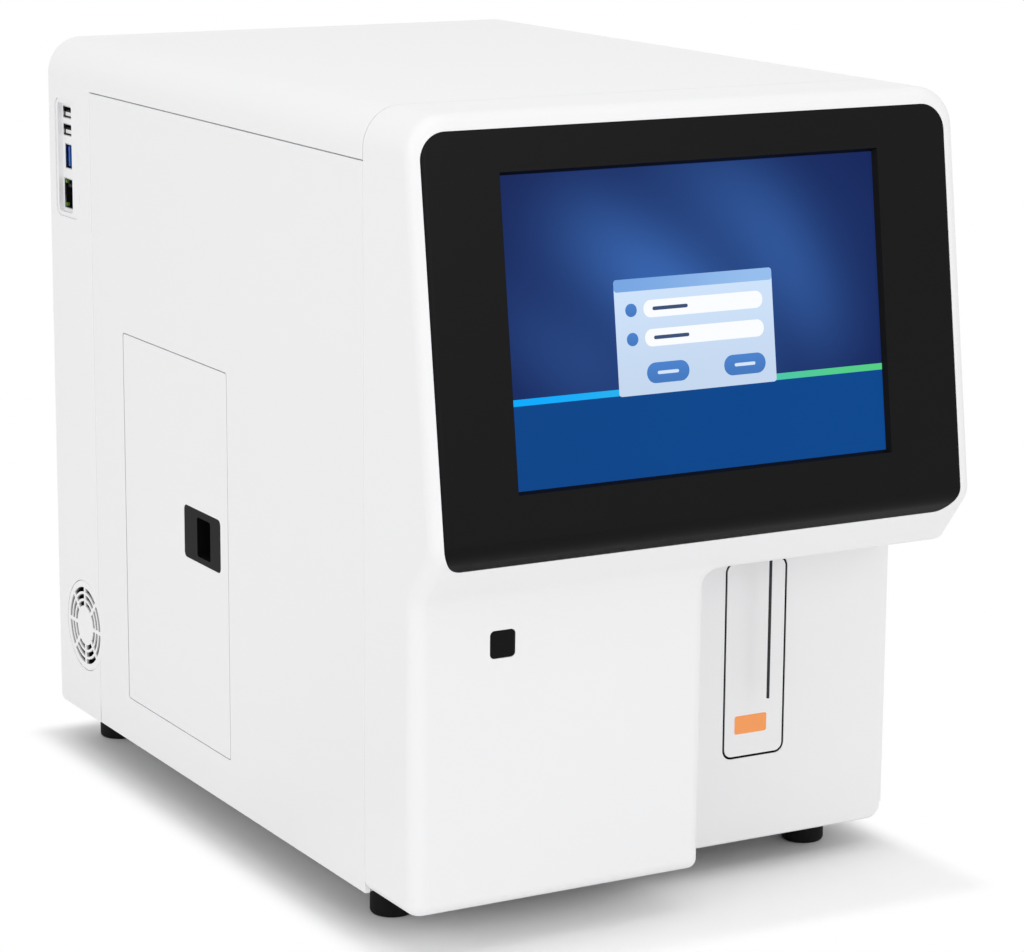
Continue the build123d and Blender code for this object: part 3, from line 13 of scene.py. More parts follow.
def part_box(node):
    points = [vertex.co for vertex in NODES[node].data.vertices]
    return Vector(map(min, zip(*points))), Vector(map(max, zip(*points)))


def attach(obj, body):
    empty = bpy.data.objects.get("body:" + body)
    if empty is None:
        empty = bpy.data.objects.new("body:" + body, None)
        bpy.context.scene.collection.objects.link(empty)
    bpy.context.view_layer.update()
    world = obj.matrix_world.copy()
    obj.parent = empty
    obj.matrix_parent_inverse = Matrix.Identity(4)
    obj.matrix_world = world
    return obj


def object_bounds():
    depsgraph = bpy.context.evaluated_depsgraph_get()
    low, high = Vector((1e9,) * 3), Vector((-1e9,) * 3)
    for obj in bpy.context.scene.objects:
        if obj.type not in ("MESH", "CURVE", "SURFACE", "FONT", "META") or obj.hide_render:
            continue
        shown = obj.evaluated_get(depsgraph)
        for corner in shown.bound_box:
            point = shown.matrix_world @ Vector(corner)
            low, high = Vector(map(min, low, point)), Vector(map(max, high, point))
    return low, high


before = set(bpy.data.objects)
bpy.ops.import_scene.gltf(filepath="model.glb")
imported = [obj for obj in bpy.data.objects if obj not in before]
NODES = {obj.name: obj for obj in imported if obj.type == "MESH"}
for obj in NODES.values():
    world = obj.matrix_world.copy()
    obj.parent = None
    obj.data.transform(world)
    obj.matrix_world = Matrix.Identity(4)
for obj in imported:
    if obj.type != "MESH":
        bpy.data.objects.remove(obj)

bl_info = {
    "name": "Hematology Analyzer",
    "version": (1, 0, 0),
    "blender": (4, 5, 0),
    "location": "3D View > Sidebar > Analyzer",
    "description": "Finishes a bench-top hematology analyzer and sets up its studio",
    "category": "Object",
}

CAD_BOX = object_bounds()

MM = 0.001
BLACK = (0.0, 0.0, 0.0, 1.0)

# Measures of the CAD part that its boxes don't tell
LEAN_BACK = 28.0 * MM
LEAN_RISE = 204.8 * MM
LEAN = math.atan2(LEAN_BACK, LEAN_RISE)
SCREEN_UP = Vector((0, math.sin(LEAN), math.cos(LEAN)))
SCREEN_OUT = Vector((0, -math.cos(LEAN), math.sin(LEAN)))
GLASS_THICKNESS = 2.0 * MM
KEY_GAP = 1.3 * MM
KEY_CORNER = 4.3 * MM
SEAM_GAP = 0.7 * MM
HEEL_RADIUS = 11.0 * MM
REAR_CORNER = 6.0 * MM

# Smoothness of curves: steps in a rounded corner, in the hood's rear corner and in a ring
OUTLINE_STEPS = 8
CORNER_STEPS = 10
RING_STEPS = 48

# Picture on the screen
SCREEN_WIDTH = 211.2 * MM
SCREEN_HEIGHT = 149.0 * MM
BAND_HEIGHT = 40.5 * MM
LINE_HEIGHT = 3.2 * MM
WINDOW_MIDDLE = (-2.4 * MM, 81.0 * MM)

# Parts of the sign-in window, in millimetres: across and down from its middle,
# width, height and corner radius, and then the layer
WINDOW_PARTS = (
    ("plate", 0.0, 0.0, 90.0, 56.0, 1.6, 3),
    ("strip", 0.0, -25.0, 90.0, 6.0, 1.6, 4),
    ("field_0", 5.0, -13.0, 68.0, 8.4, 4.0, 4),
    ("dot_0", -36.0, -13.0, 6.4, 6.4, 3.1, 4),
    ("entry_0", -14.0, -13.0, 20.0, 1.8, 0.9, 5),
    ("field_1", 5.0, 1.0, 68.0, 8.4, 4.0, 4),
    ("dot_1", -36.0, 1.0, 6.4, 6.4, 3.1, 4),
    ("entry_1", -14.0, 1.0, 20.0, 1.8, 0.9, 5),
    ("button_0", -17.0, 18.0, 24.0, 10.0, 4.9, 4),
    ("button_mark_0", -17.0, 18.0, 12.0, 1.6, 0.8, 5),
    ("button_1", 27.0, 18.0, 24.0, 10.0, 4.9, 4),
    ("button_mark_1", 27.0, 18.0, 12.0, 1.6, 0.8, 5),
)

# Label of the key, and the black ring of painted shade in the gap round it
LABEL_PLACE = (15.8 * MM, 16.8 * MM)
LABEL_CORNER = 1.2 * MM
LABEL_FRONT = 0.12 * MM
LABEL_THICKNESS = 0.11 * MM
GAP_SHADE_CLEARANCE = 0.15 * MM
GAP_SHADE_SET_BACK = 0.35 * MM
GAP_SHADE_DEPTH = 1.6 * MM

# Small boxes: their two corners in millimetres from a place, along X, Y and Z
USB_TONGUE = ((0.9, -5.6, -2.2), (9.0, 5.6, -0.1))
USB_CONTACT = ((1.2, -0.5, -0.12), (8.0, 0.5, 0.02))
UPRIGHT_TONGUE = ((0.7, -0.6, -5.6), (9.0, 1.8, 5.6))
NETWORK_PIN = ((2.0, -4.2, -0.3), (9.0, -3.8, 0.3))
NETWORK_LAMP = ((0.5, -2.4, -0.9), (2.0, -0.9, 0.9))
NETWORK_GUIDE = ((0.4, 0.6, -2.4), (8.0, 2.6, 2.4))
CAP_RIB = ((-0.3, -0.45, -7.0), (0.55, 0.45, 7.0))
USB_LEVEL = 3.6 * MM
USB_PITCH = 2.4 * MM
PIN_PITCH = 1.2 * MM
LAMP_LEVEL = 6.6 * MM
GUIDE_LEVEL = 5.6 * MM
RIB_LEVEL = 8.5 * MM

# Depths behind the face over which painted shade turns sockets and grille slots black
SOCKET_SHADE = (0.7 * MM, 0.75 * MM)
GRILLE_SHADE = (0.3 * MM, 1.9 * MM)

# Hood's lower edges and the rear panel's trim; a screw head's thickness is in radii
EDGE_THICKNESS = 2.8 * MM
SCREW_THICKNESS = 0.5
SCREW_COUNT = 4
SCREW_INSET = 8.0 * MM
SCREW_MARGIN = 14.0 * MM
FITTING_REACH = 7.0 * MM
RING_FRONT = 0.8 * MM
RING_SIZES = (8.6 * MM, 11.0 * MM, 0.75 * MM)

# Studio: how far from the housing the floor's shade fades out, and each lamp's
# place, width in metres and power in watts
FADE_REACH = 0.021
FLOOR_REACH = 12.0
WORLD_FILL = 0.74
LAMPS = (
    ("top_light", (-0.3, -0.5, 2.4), 2.2, 9.8),
    ("left_light", (-2.4, -1.0, 1.2), 1.5, 10.5),
    ("front_light", (0.6, -2.6, 1.1), 1.5, 9.0),
)
SENSOR_WIDTH = 36.0
CLIP_RANGE = (0.05, 60.0)


def srgb(red, green, blue):
    """Linear colour from the 0 to 255 values of a picture."""
    linear = []
    for value in (red, green, blue):
        part = value / 255
        linear.append(part / 12.92 if part <= 0.04045 else ((part + 0.055) / 1.055) ** 2.4)
    return (*linear, 1.0)


# Sizes and colours that a user would change


def colour_property(name, description, *values):
    """Property of a colour, from the 0 to 255 values of a picture."""
    return bpy.props.FloatVectorProperty(
        name=name, description=description, subtype="COLOR", size=4, min=0, max=1, default=srgb(*values),
    )


class AnalyzerFinish(bpy.types.PropertyGroup):
    """Colours and surface of the housing."""

    white: colour_property("Housing white", "Colour of the moulded covers", 240, 240, 241)
    sheet: colour_property("Panel white", "Colour of the painted side panels", 239, 239, 240)
    black: colour_property("Surround black", "Colour of the screen surround", 9, 9, 10)
    grain: bpy.props.FloatProperty(
        name="Moulded grain", description="Distance between the grains of the satin plastic",
        unit="LENGTH", min=0.0001, max=0.005, default=0.0006,
    )


class AnalyzerScreen(bpy.types.PropertyGroup):
    """Colours and layers of the picture on the screen."""

    night: colour_property("Deep blue", "Darkest blue of the backdrop", 14, 36, 92)
    sky: colour_property("Light blue", "Lightest blue of the backdrop", 52, 98, 172)
    band: colour_property("Band blue", "Colour of the band at the foot", 0, 70, 142)
    window: colour_property("Window blue", "Colour of the sign-in window", 206, 226, 250)
    button: colour_property("Button blue", "Colour of the window's buttons", 74, 130, 205)
    lift: bpy.props.FloatProperty(
        name="Layer lift", description="Distance between the layers of the picture",
        unit="LENGTH", min=0.00001, max=0.0005, default=0.00006,
    )


class AnalyzerSmallParts(bpy.types.PropertyGroup):
    """Colour and size of the label, and sizes of the screws and the cap ribs."""

    label: colour_property("Label orange", "Colour of the label on the key", 255, 160, 86)
    label_width: bpy.props.FloatProperty(
        name="Label width", description="Width of the label on the key", unit="LENGTH",
        min=0.005, max=0.03, default=0.0196,
    )
    label_height: bpy.props.FloatProperty(
        name="Label height", description="Height of the label on the key", unit="LENGTH",
        min=0.004, max=0.03, default=0.0098,
    )
    screw_radius: bpy.props.FloatProperty(
        name="Screw head radius", description="Radius of the rear panel's screw heads",
        unit="LENGTH", min=0.001, max=0.006, default=0.0029,
    )
    cap_ribs: bpy.props.IntProperty(
        name="Cap ribs", description="Grip ribs round each bottle cap", min=12, max=90, default=44,
    )


class AnalyzerStudio(bpy.types.PropertyGroup):
    """Camera and light."""

    camera_place: bpy.props.FloatVectorProperty(
        name="Camera place", description="Where the camera stands", subtype="TRANSLATION", size=3,
        unit="LENGTH", default=(-0.88514, -1.61111, 0.59062),
    )
    camera_pan: bpy.props.FloatProperty(
        name="Camera pan", description="Turn to the right from straight ahead", subtype="ANGLE",
        default=math.radians(29.31),
    )
    camera_tilt: bpy.props.FloatProperty(
        name="Camera tilt", description="Downward tilt of the camera", subtype="ANGLE",
        default=math.radians(12.38),
    )
    camera_roll: bpy.props.FloatProperty(
        name="Camera roll", description="Roll of the camera", subtype="ANGLE",
        default=math.radians(0.37),
    )
    lens: bpy.props.FloatProperty(
        name="Lens", description="Focal length in millimetres on a 36 mm sensor", min=20, max=400,
        default=120.95,
    )


def finish_values():
    """The housing's values, as set by the user."""
    return bpy.context.scene.analyzer_finish


def screen_values():
    """The screen's values, as set by the user."""
    return bpy.context.scene.analyzer_screen


def small_values():
    """The small parts' values, as set by the user."""
    return bpy.context.scene.analyzer_small_parts


# Node helpers


def combine(tree, operation, first, second):
    """Result of a Math node between two values."""
    made = tree.nodes.new("ShaderNodeMath")
    made.operation = operation
    tree.links.new(first, made.inputs[0])
    tree.links.new(second, made.inputs[1])
    return made.outputs["Value"]


class Paint:
    """A material with its shader, and short ways to add nodes to it."""

    def __init__(self, name, colour, metallic=0.0, specular=0.5):
        self.material = bpy.data.materials.new(name)
        self.material.use_nodes = True
        self.tree = self.material.node_tree
        self.shader = self.tree.nodes["Principled BSDF"]
        self.set("Base Color", colour)
        self.set("Metallic", metallic)
        self.set("Specular IOR Level", specular)
        self.coordinates = self.node("ShaderNodeTexCoord")

    def node(self, kind, **settings):
        made = self.tree.nodes.new(kind)
        for key, value in settings.items():
            setattr(made, key, value)
        return made

    def set(self, socket, value):
        self.shader.inputs[socket].default_value = value

    def link(self, source, target):
        self.tree.links.new(source, target)

    def noise(self, scale, detail, stretch=None):
        """Noise on Object coordinates, in cycles per metre."""
        texture = self.node("ShaderNodeTexNoise")
        texture.inputs["Scale"].default_value = scale
        texture.inputs["Detail"].default_value = detail
        place = self.coordinates.outputs["Object"]
        if stretch:
            mapping = self.node("ShaderNodeMapping")
            mapping.inputs["Scale"].default_value = stretch
            self.link(place, mapping.inputs["Vector"])
            place = mapping.outputs["Vector"]
        self.link(place, texture.inputs["Vector"])
        return texture.outputs["Fac"]

    def spread(self, source, low, high, start=0.0, end=1.0, curve="LINEAR"):
        """Map the range from start to end onto the range from low to high."""
        ramp = self.node("ShaderNodeMapRange", interpolation_type=curve)
        for socket, value in (("From Min", start), ("From Max", end), ("To Min", low), ("To Max", high)):
            ramp.inputs[socket].default_value = value
        self.link(source, ramp.inputs["Value"])
        return ramp.outputs["Result"]

    def blend(self, source, colour, other):
        """Blend two colours by a 0 to 1 value."""
        mix = self.node("ShaderNodeMix", data_type="RGBA")
        mix.inputs["A"].default_value = colour
        mix.inputs["B"].default_value = other
        self.link(source, mix.inputs["Factor"])
        return mix.outputs["Result"]

    def tint(self, source, colour, other):
        self.link(self.blend(source, colour, other), self.shader.inputs["Base Color"])

    def depth(self, face, start, end):
        """Rise from 0 to 1 between two depths behind a face, along the object's X."""
        split = self.node("ShaderNodeSeparateXYZ")
        self.link(self.coordinates.outputs["Object"], split.inputs["Vector"])
        return self.spread(split.outputs["X"], 0.0, 1.0, face + start, face + end)

    def rough(self, source, low, high):
        self.link(self.spread(source, low, high), self.shader.inputs["Roughness"])

    def bump(self, source, height, strength):
        relief = self.node("ShaderNodeBump")
        relief.inputs["Distance"].default_value = height
        relief.inputs["Strength"].default_value = strength
        self.link(source, relief.inputs["Height"])
        self.link(relief.outputs["Normal"], self.shader.inputs["Normal"])


def shade(colour, factor):
    """The colour made darker or lighter by a factor."""
    return (*[min(1.0, part * factor) for part in colour[:3]], 1.0)


def grained(name, colour, grain, rough, vary, relief=None, stretch=None, metallic=0.0, specular=0.5):
    """Paint with one noise in its roughness, its colour and, if given, its relief.

    The grain is the noise's scale and detail, vary is the factor between the two
    colours, and the relief is a height in metres and a strength.
    """
    paint = Paint(name, colour, metallic, specular)
    noise = paint.noise(*grain, stretch)
    paint.rough(noise, *rough)
    paint.tint(noise, colour, shade(colour, vary))
    if relief:
        paint.bump(noise, *relief)
    return paint


def clouded_white(name, colour, specular, clouds, grain, rough, relief):
    """White with slow clouds in its colour and a fine grain in roughness and relief."""
    paint = Paint(name, colour, 0.0, specular)
    paint.tint(paint.noise(clouds, 3.0), colour, shade(colour, 0.985))
    noise = paint.noise(*grain)
    paint.rough(noise, *rough)
    paint.bump(noise, *relief)
    return paint.material


# Materials


def satin_white():
    """Satin moulded plastic with a fine grain and hardly visible clouding."""
    values = finish_values()
    grain = (1 / values.grain, 4.0)
    return clouded_white(
        "satin_white_plastic", tuple(values.white), 0.4, 9.0, grain, (0.38, 0.48), (0.00002, 0.35)
    )


def panel_white():
    """Powder-coated sheet: nearly the same white, with a low orange-peel."""
    values = finish_values()
    peel = (0.5 / values.grain, 3.0)
    return clouded_white(
        "coated_white_sheet", tuple(values.sheet), 0.5, 7.0, peel, (0.4, 0.5), (0.00002, 0.3)
    )


def grille_white():
    """Satin white face of the fan grille, with painted shade that darkens its slots inwards."""
    values = finish_values()
    colour = tuple(values.white)
    paint = Paint("grille_white_plastic", colour)
    # painted shade: the slot walls turn black deeper behind the grille face
    paint.tint(paint.depth(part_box("fan_grille")[0].x, *GRILLE_SHADE), colour, srgb(7, 7, 8))
    grain = paint.noise(1 / values.grain, 4.0)
    paint.rough(grain, 0.4, 0.5)
    paint.bump(grain, 0.00002, 0.35)
    return paint.material


def surround_black():
    """Black panel with a soft gloss."""
    colour = tuple(finish_values().black)
    paint = grained("surround_black", colour, (40.0, 3.0), (0.3, 0.38), 1.25, specular=0.1)
    paint.bump(paint.noise(2500.0, 2.0), 0.000004, 0.3)
    return paint.material


def moulded_black(name, level=11, rough=(0.42, 0.55)):
    """Black moulded plastic with a fine spark-eroded texture."""
    colour = srgb(level, level, level + 1)
    return grained(name, colour, (1900.0, 3.0), rough, 1.35, (0.00002, 0.4), specular=0.07).material


def gap_shade_black():
    """Matt black of the ring of painted shade in the gap round the key."""
    return grained("gap_shade_black", srgb(8, 8, 9), (1400.0, 2.0), (0.7, 0.9), 1.4, specular=0.1).material


def foot_rubber():
    """Matt black rubber."""
    paint = grained("foot_rubber", srgb(14, 14, 15), (160.0, 4.0), (0.6, 0.8), 1.6, specular=0.15)
    paint.bump(paint.noise(1400.0, 2.0), 0.00003, 0.5)
    return paint.material


def metal(name, colour, grain, rough, vary, stretch, relief=None, metallic=1.0):
    """Metal with fine marks drawn out along one direction."""
    return grained(name, colour, grain, rough, vary, relief, stretch, metallic).material


def brushed_sheet(name, level=176, along=(1.0, 60.0, 1.0)):
    """Zinc-plated sheet, brushed along one direction."""
    colour = srgb(level, level + 1, level + 4)
    return metal(name, colour, (60.0, 4.0), (0.28, 0.45), 0.86, along, (0.00001, 0.3))


def polished_steel():
    """Ground stainless steel of the rods, pins, plungers and screws."""
    colour = srgb(196, 198, 202)
    return metal("polished_steel", colour, (900.0, 2.0), (0.12, 0.24), 0.9, (1.0, 1.0, 0.05))


def needle_steel():
    """Darkened steel of the sampling needle."""
    colour = srgb(46, 47, 50)
    return metal(
        "needle_steel", colour, (900.0, 2.0), (0.24, 0.38), 1.3, (1.0, 1.0, 0.05), metallic=0.7
    )


def machined_aluminium():
    """Machined aluminium with faint tool marks."""
    colour = srgb(206, 208, 211)
    return metal(
        "machined_aluminium", colour, (300.0, 3.0), (0.26, 0.42), 0.9, (1.0, 6.0, 1.0), (0.00001, 0.2)
    )


def turned_brass():
    """Turned brass of the hose fittings."""
    colour = srgb(212, 182, 110)
    return metal("turned_brass", colour, (500.0, 2.0), (0.2, 0.36), 0.85, (0.2, 4.0, 0.2))


def clear_acrylic():
    """Clear acrylic of the baths and the syringe barrels."""
    paint = Paint("clear_acrylic", srgb(236, 243, 245))
    paint.set("Transmission Weight", 0.85)
    paint.set("IOR", 1.49)
    paint.rough(paint.noise(120.0, 2.0), 0.04, 0.1)
    return paint.material


def bottle_plastic():
    """Milky bottle plastic."""
    colour = srgb(236, 238, 234)
    paint = grained("bottle_plastic", colour, (30.0, 3.0), (0.28, 0.4), 0.95, stretch=(1.0, 1.0, 0.2))
    paint.set("Subsurface Weight", 0.2)
    paint.set("Subsurface Radius", (0.01, 0.01, 0.01))
    return paint.material


def socket_metal():
    """Plated shell of the sockets, with painted shade that turns it black from a little behind the rim
    on.
    """
    steel = srgb(198, 200, 204)
    paint = Paint("socket_dark", steel, specular=0.2)
    # painted shade: the shell turns black, matt and non-metallic deeper in the openings
    deep = paint.depth(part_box("usb_ports")[0].x, *SOCKET_SHADE)
    paint.tint(deep, steel, srgb(9, 9, 10))
    paint.link(paint.spread(deep, 1.0, 0.0), paint.shader.inputs["Metallic"])
    paint.rough(deep, 0.25, 0.55)
    return paint.material


def coloured_plastic(name, colour, rough=(0.35, 0.46)):
    """Coloured moulded plastic with a faint grain."""
    return grained(name, colour, (1500.0, 3.0), rough, 0.93, (0.00001, 0.3), specular=0.3).material


def board_green():
    """Solder-resist green, mottled along the tracks."""
    colour = srgb(22, 92, 52)
    return grained(
        "board_green", colour, (220.0, 1.0), (0.28, 0.42), 1.7, stretch=(1.0, 8.0, 1.0)
    ).material


def motor_black():
    """Black lacquered motor cans."""
    colour = srgb(34, 34, 36)
    return grained("motor_black", colour, (700.0, 3.0), (0.32, 0.46), 1.3, (0.00001, 0.3)).material


def lit_paint(name):
    """Dark, smooth paint of the screen picture, ready for a colour of light."""
    paint = Paint(name, BLACK, specular=0.06)
    paint.set("Roughness", 0.28)
    paint.set("Emission Strength", 1.0)
    return paint


def glow(name, colour, other=None, axis="X"):
    """Lit part of the screen picture, plain or running from one colour to another."""
    paint = lit_paint(name)
    paint.set("Emission Color", colour)
    if other:
        split = paint.node("ShaderNodeSeparateXYZ")
        paint.link(paint.coordinates.outputs["UV"], split.inputs["Vector"])
        ramp = paint.node("ShaderNodeValToRGB")
        ramp.color_ramp.elements[0].color = colour
        ramp.color_ramp.elements[1].color = other
        ramp.color_ramp.interpolation = "EASE"
        paint.link(split.outputs[axis], ramp.inputs["Fac"])
        paint.link(ramp.outputs["Color"], paint.shader.inputs["Emission Color"])
    return paint.material


def backdrop_glow():
    """Blue backdrop of the screen: a light middle, darker sides and soft slanting ribbons."""
    values = screen_values()
    paint = lit_paint("screen_backdrop")
    place = paint.node("ShaderNodeMapping")
    place.inputs["Rotation"].default_value = (0.0, 0.0, math.radians(-32))
    paint.link(paint.coordinates.outputs["UV"], place.inputs["Vector"])
    ribbons = paint.node("ShaderNodeTexWave", wave_profile="SIN")
    shape = (("Scale", 0.8), ("Distortion", 4.5), ("Detail", 1.0), ("Detail Scale", 0.9))
    for socket, value in shape:
        ribbons.inputs[socket].default_value = value
    paint.link(place.outputs["Vector"], ribbons.inputs["Vector"])
    away = paint.node("ShaderNodeVectorMath", operation="DISTANCE")
    away.inputs[1].default_value = (0.48, 0.6, 0.0)
    paint.link(paint.coordinates.outputs["UV"], away.inputs[0])
    middle = paint.spread(away.outputs["Value"], 0.0, 1.0, 0.64, 0.05, "SMOOTHSTEP")
    share = combine(paint.tree, "MULTIPLY", middle, paint.spread(ribbons.outputs["Fac"], 0.45, 1.0))
    colour = paint.blend(share, tuple(values.night), tuple(values.sky))
    paint.link(colour, paint.shader.inputs["Emission Color"])
    return paint.material


# Mesh helpers


def give(material, *names):
    """Give CAD nodes a material."""
    for name in names:
        mesh = NODES[name].data
        mesh.materials.clear()
        mesh.materials.append(material)


def given(name):
    """Material that a CAD node was given."""
    return NODES[name].data.materials[0]


def piece(name, mesh, material, body):
    """Make an object of a mesh, in place, that rides on a body; no material keeps the mesh's own."""
    made = bpy.data.objects.new(name, mesh)
    bpy.context.scene.collection.objects.link(made)
    if material:
        mesh.materials.clear()
        mesh.materials.append(material)
    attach(made, body)


def mesh_of(name, build):
    """New mesh from a function that fills a bmesh."""
    made = bmesh.new()
    build(made)
    bmesh.ops.recalc_face_normals(made, faces=made.faces)
    mesh = bpy.data.meshes.new(name)
    made.to_mesh(mesh)
    made.free()
    return mesh


def rounded_outline(width, height, radius):
    """Outline of a rectangle with rounded corners, counter-clockwise from the lower left."""
    points = []
    corners = ((-1, -1, 180), (1, -1, 270), (1, 1, 0), (-1, 1, 90))
    for side, level, start in corners:
        centre = (side * (width / 2 - radius), level * (height / 2 - radius))
        if radius <= 0:
            points.append(centre)
            continue
        for step in range(OUTLINE_STEPS + 1):
            angle = math.radians(start + 90 * step / OUTLINE_STEPS)
            points.append((centre[0] + radius * math.cos(angle), centre[1] + radius * math.sin(angle)))
    return points


def thin_plate(made, places, thickness):
    """Closed plate from a face through the places to the same face moved by a vector."""
    face = made.faces.new([made.verts.new(place) for place in places])
    rim = bmesh.ops.extrude_face_region(made, geom=[face])
    backs = [vertex for vertex in rim["geom"] if isinstance(vertex, bmesh.types.BMVert)]
    bmesh.ops.translate(made, verts=backs, vec=thickness)


def picture_top():
    """Middle of the upper edge of the picture, on the front of the glass."""
    low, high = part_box("touch_glass")
    drop = GLASS_THICKNESS * math.sin(LEAN)
    slant = (high.z - low.z - drop) / math.cos(LEAN)
    margin = (slant - SCREEN_HEIGHT) / 2
    top = Vector(((low.x + high.x) / 2, low.y + slant * math.sin(LEAN), high.z - drop))
    return top - SCREEN_UP * margin


def screen_plate(name, centre, size, radius, layer, material):
    """Thin plate of the picture: centre is across from the middle and down from the top."""
    lift = screen_values().lift
    middle = picture_top() + Vector((centre[0], 0, 0)) - SCREEN_UP * centre[1]
    middle += SCREEN_OUT * lift * (layer + 1)
    outline = rounded_outline(size[0], size[1], radius)

    def build(made):
        uv = made.loops.layers.uv.new("UVMap")
        places = [middle + Vector((across, 0, 0)) + SCREEN_UP * up for across, up in outline]
        thin_plate(made, places, -SCREEN_OUT * lift * 0.9)
        for face in made.faces:
            for loop in face.loops:
                offset = loop.vert.co - middle
                loop[uv].uv = (0.5 + offset.x / size[0], 0.5 + offset.dot(SCREEN_UP) / size[1])

    piece(name, mesh_of(name, build), material, "housing")


def boxes_mesh(name, places, corners):
    """Mesh of equal boxes, whose two corners lie some millimetres from each place."""
    low, high = [Vector(corner) * MM for corner in corners]
    shape = Matrix.Diagonal((*(high - low), 1.0))

    def build(made):
        for place in places:
            middle = Vector(place) + (low + high) / 2
            bmesh.ops.create_cube(made, size=1.0, matrix=Matrix.Translation(middle) @ shape)

    return mesh_of(name, build)


def boxes(name, places, corners, material):
    """One piece of equal boxes in the housing."""
    piece(name, boxes_mesh(name, places, corners), material, "housing")


def join_rings(made, rings, closed=True):
    """Faces between loops of equal length and, if closed, from the last to the first."""
    pairs = list(zip(rings, rings[1:]))
    if closed:
        pairs.append((rings[-1], rings[0]))
    for here, there in pairs:
        for step in range(len(here)):
            after = (step + 1) % len(here)
            made.faces.new((here[step], here[after], there[after], there[step]))


def ring_mesh(made, centre, inner, outer, depth):
    """Flat ring across Y, from its centre backwards by a depth."""
    loops = []
    for radius, back in ((inner, 0.0), (outer, 0.0), (outer, depth), (inner, depth)):
        loop = []
        for step in range(RING_STEPS):
            turn = 2 * math.pi * step / RING_STEPS
            place = Vector((radius * math.cos(turn), -back, radius * math.sin(turn)))
            loop.append(made.verts.new(centre + place))
        loops.append(loop)
    join_rings(made, loops)


def screw_head(radius):
    """Screw head with a bevelled rim and a cross recess, facing +Y, as a mesh."""
    thickness = radius * SCREW_THICKNESS
    level = thickness / 2
    arm = radius * 0.16
    reach = radius * 0.5
    recess = radius * 0.4
    cross = [
        (reach, -arm), (reach, arm), (arm, arm), (arm, reach), (-arm, reach), (-arm, arm),
        (-reach, arm), (-reach, -arm), (-arm, -arm), (-arm, -reach), (arm, -reach), (arm, -arm),
    ]

    def build(made):
        turned = Matrix.Rotation(math.radians(-90), 4, "X")
        bmesh.ops.create_cone(
            made, cap_ends=True, segments=32, radius1=radius, radius2=radius * 0.78,
            depth=thickness, matrix=turned,
        )
        top = max(made.faces, key=lambda face: face.calc_center_median().y)
        bmesh.ops.delete(made, geom=[top], context="FACES_ONLY")
        rim = [v for v in made.verts if v.co.y > 0]
        rim.sort(key=lambda v: math.atan2(v.co.z, v.co.x))
        edge = [made.verts.new((x, level, z)) for x, z in cross]
        floor = [made.verts.new((x * 0.8, level - recess, z * 0.8)) for x, z in cross]
        join_rings(made, [edge, floor], closed=False)
        made.faces.new(floor)
        edges = []
        for loop in (rim, edge):
            for pair in zip(loop, loop[1:] + loop[:1]):
                edges.append(made.edges.get(pair) or made.edges.new(pair))
        bmesh.ops.triangle_fill(made, edges=edges, use_beauty=True)

    return mesh_of("screw_head", build)


def instance_tree(name, kind, mesh, material):
    """Geometry Nodes tree that sets a mesh along a line or round a circle."""
    tree = bpy.data.node_groups.new(name, "GeometryNodeTree")
    sockets = tree.interface.new_socket
    sockets("Geometry", in_out="OUTPUT", socket_type="NodeSocketGeometry")
    for label, value in (("Count", "Int"), ("Start", "Vector"), ("Step", "Vector"), ("Radius", "Float")):
        sockets(label, in_out="INPUT", socket_type=f"NodeSocket{value}")
    make = tree.nodes.new
    link = tree.links.new
    asked = make("NodeGroupInput")
    result = make("NodeGroupOutput")
    source = make("GeometryNodeObjectInfo")
    source.inputs["Object"].default_value = bpy.data.objects.new(f"{name}_source", mesh)
    spread = make("GeometryNodeInstanceOnPoints")
    link(source.outputs["Geometry"], spread.inputs["Instance"])
    if kind == "line":
        line = make("GeometryNodeMeshLine")
        link(asked.outputs["Count"], line.inputs["Count"])
        link(asked.outputs["Start"], line.inputs["Start Location"])
        link(asked.outputs["Step"], line.inputs["Offset"])
        link(line.outputs["Mesh"], spread.inputs["Points"])
    else:
        circle = make("GeometryNodeMeshCircle")
        link(asked.outputs["Count"], circle.inputs["Vertices"])
        link(asked.outputs["Radius"], circle.inputs["Radius"])
        place = make("GeometryNodeTransform")
        link(circle.outputs["Mesh"], place.inputs["Geometry"])
        link(asked.outputs["Start"], place.inputs["Translation"])
        index = make("GeometryNodeInputIndex")
        whole = make("ShaderNodeValue")
        whole.outputs["Value"].default_value = 2 * math.pi
        share = combine(tree, "DIVIDE", index.outputs["Index"], asked.outputs["Count"])
        angles = make("ShaderNodeCombineXYZ")
        link(combine(tree, "MULTIPLY", share, whole.outputs["Value"]), angles.inputs["Z"])
        link(angles.outputs["Vector"], spread.inputs["Rotation"])
        link(place.outputs["Geometry"], spread.inputs["Points"])
    real = make("GeometryNodeRealizeInstances")
    finish = make("GeometryNodeSetMaterial")
    finish.inputs["Material"].default_value = material
    link(spread.outputs["Instances"], real.inputs["Geometry"])
    link(real.outputs["Geometry"], finish.inputs["Geometry"])
    link(finish.outputs["Geometry"], result.inputs["Geometry"])
    return tree


def grow_tree(name, tree, values, body):
    """Run a tree once with the given inputs and keep its plain mesh as a piece."""
    holder = bpy.data.objects.new(f"{name}_holder", bpy.data.meshes.new(f"{name}_holder"))
    bpy.context.scene.collection.objects.link(holder)
    modifier = holder.modifiers.new("nodes", "NODES")
    modifier.node_group = tree
    for item in tree.interface.items_tree:
        if item.in_out == "INPUT" and item.name in values:
            modifier[item.identifier] = values[item.name]
    bpy.context.view_layer.update()
    graph = bpy.context.evaluated_depsgraph_get()
    mesh = bpy.data.meshes.new_from_object(holder.evaluated_get(graph), depsgraph=graph)
    mesh.name = name
    bpy.data.objects.remove(holder)
    piece(name, mesh, None, body)


# Operators


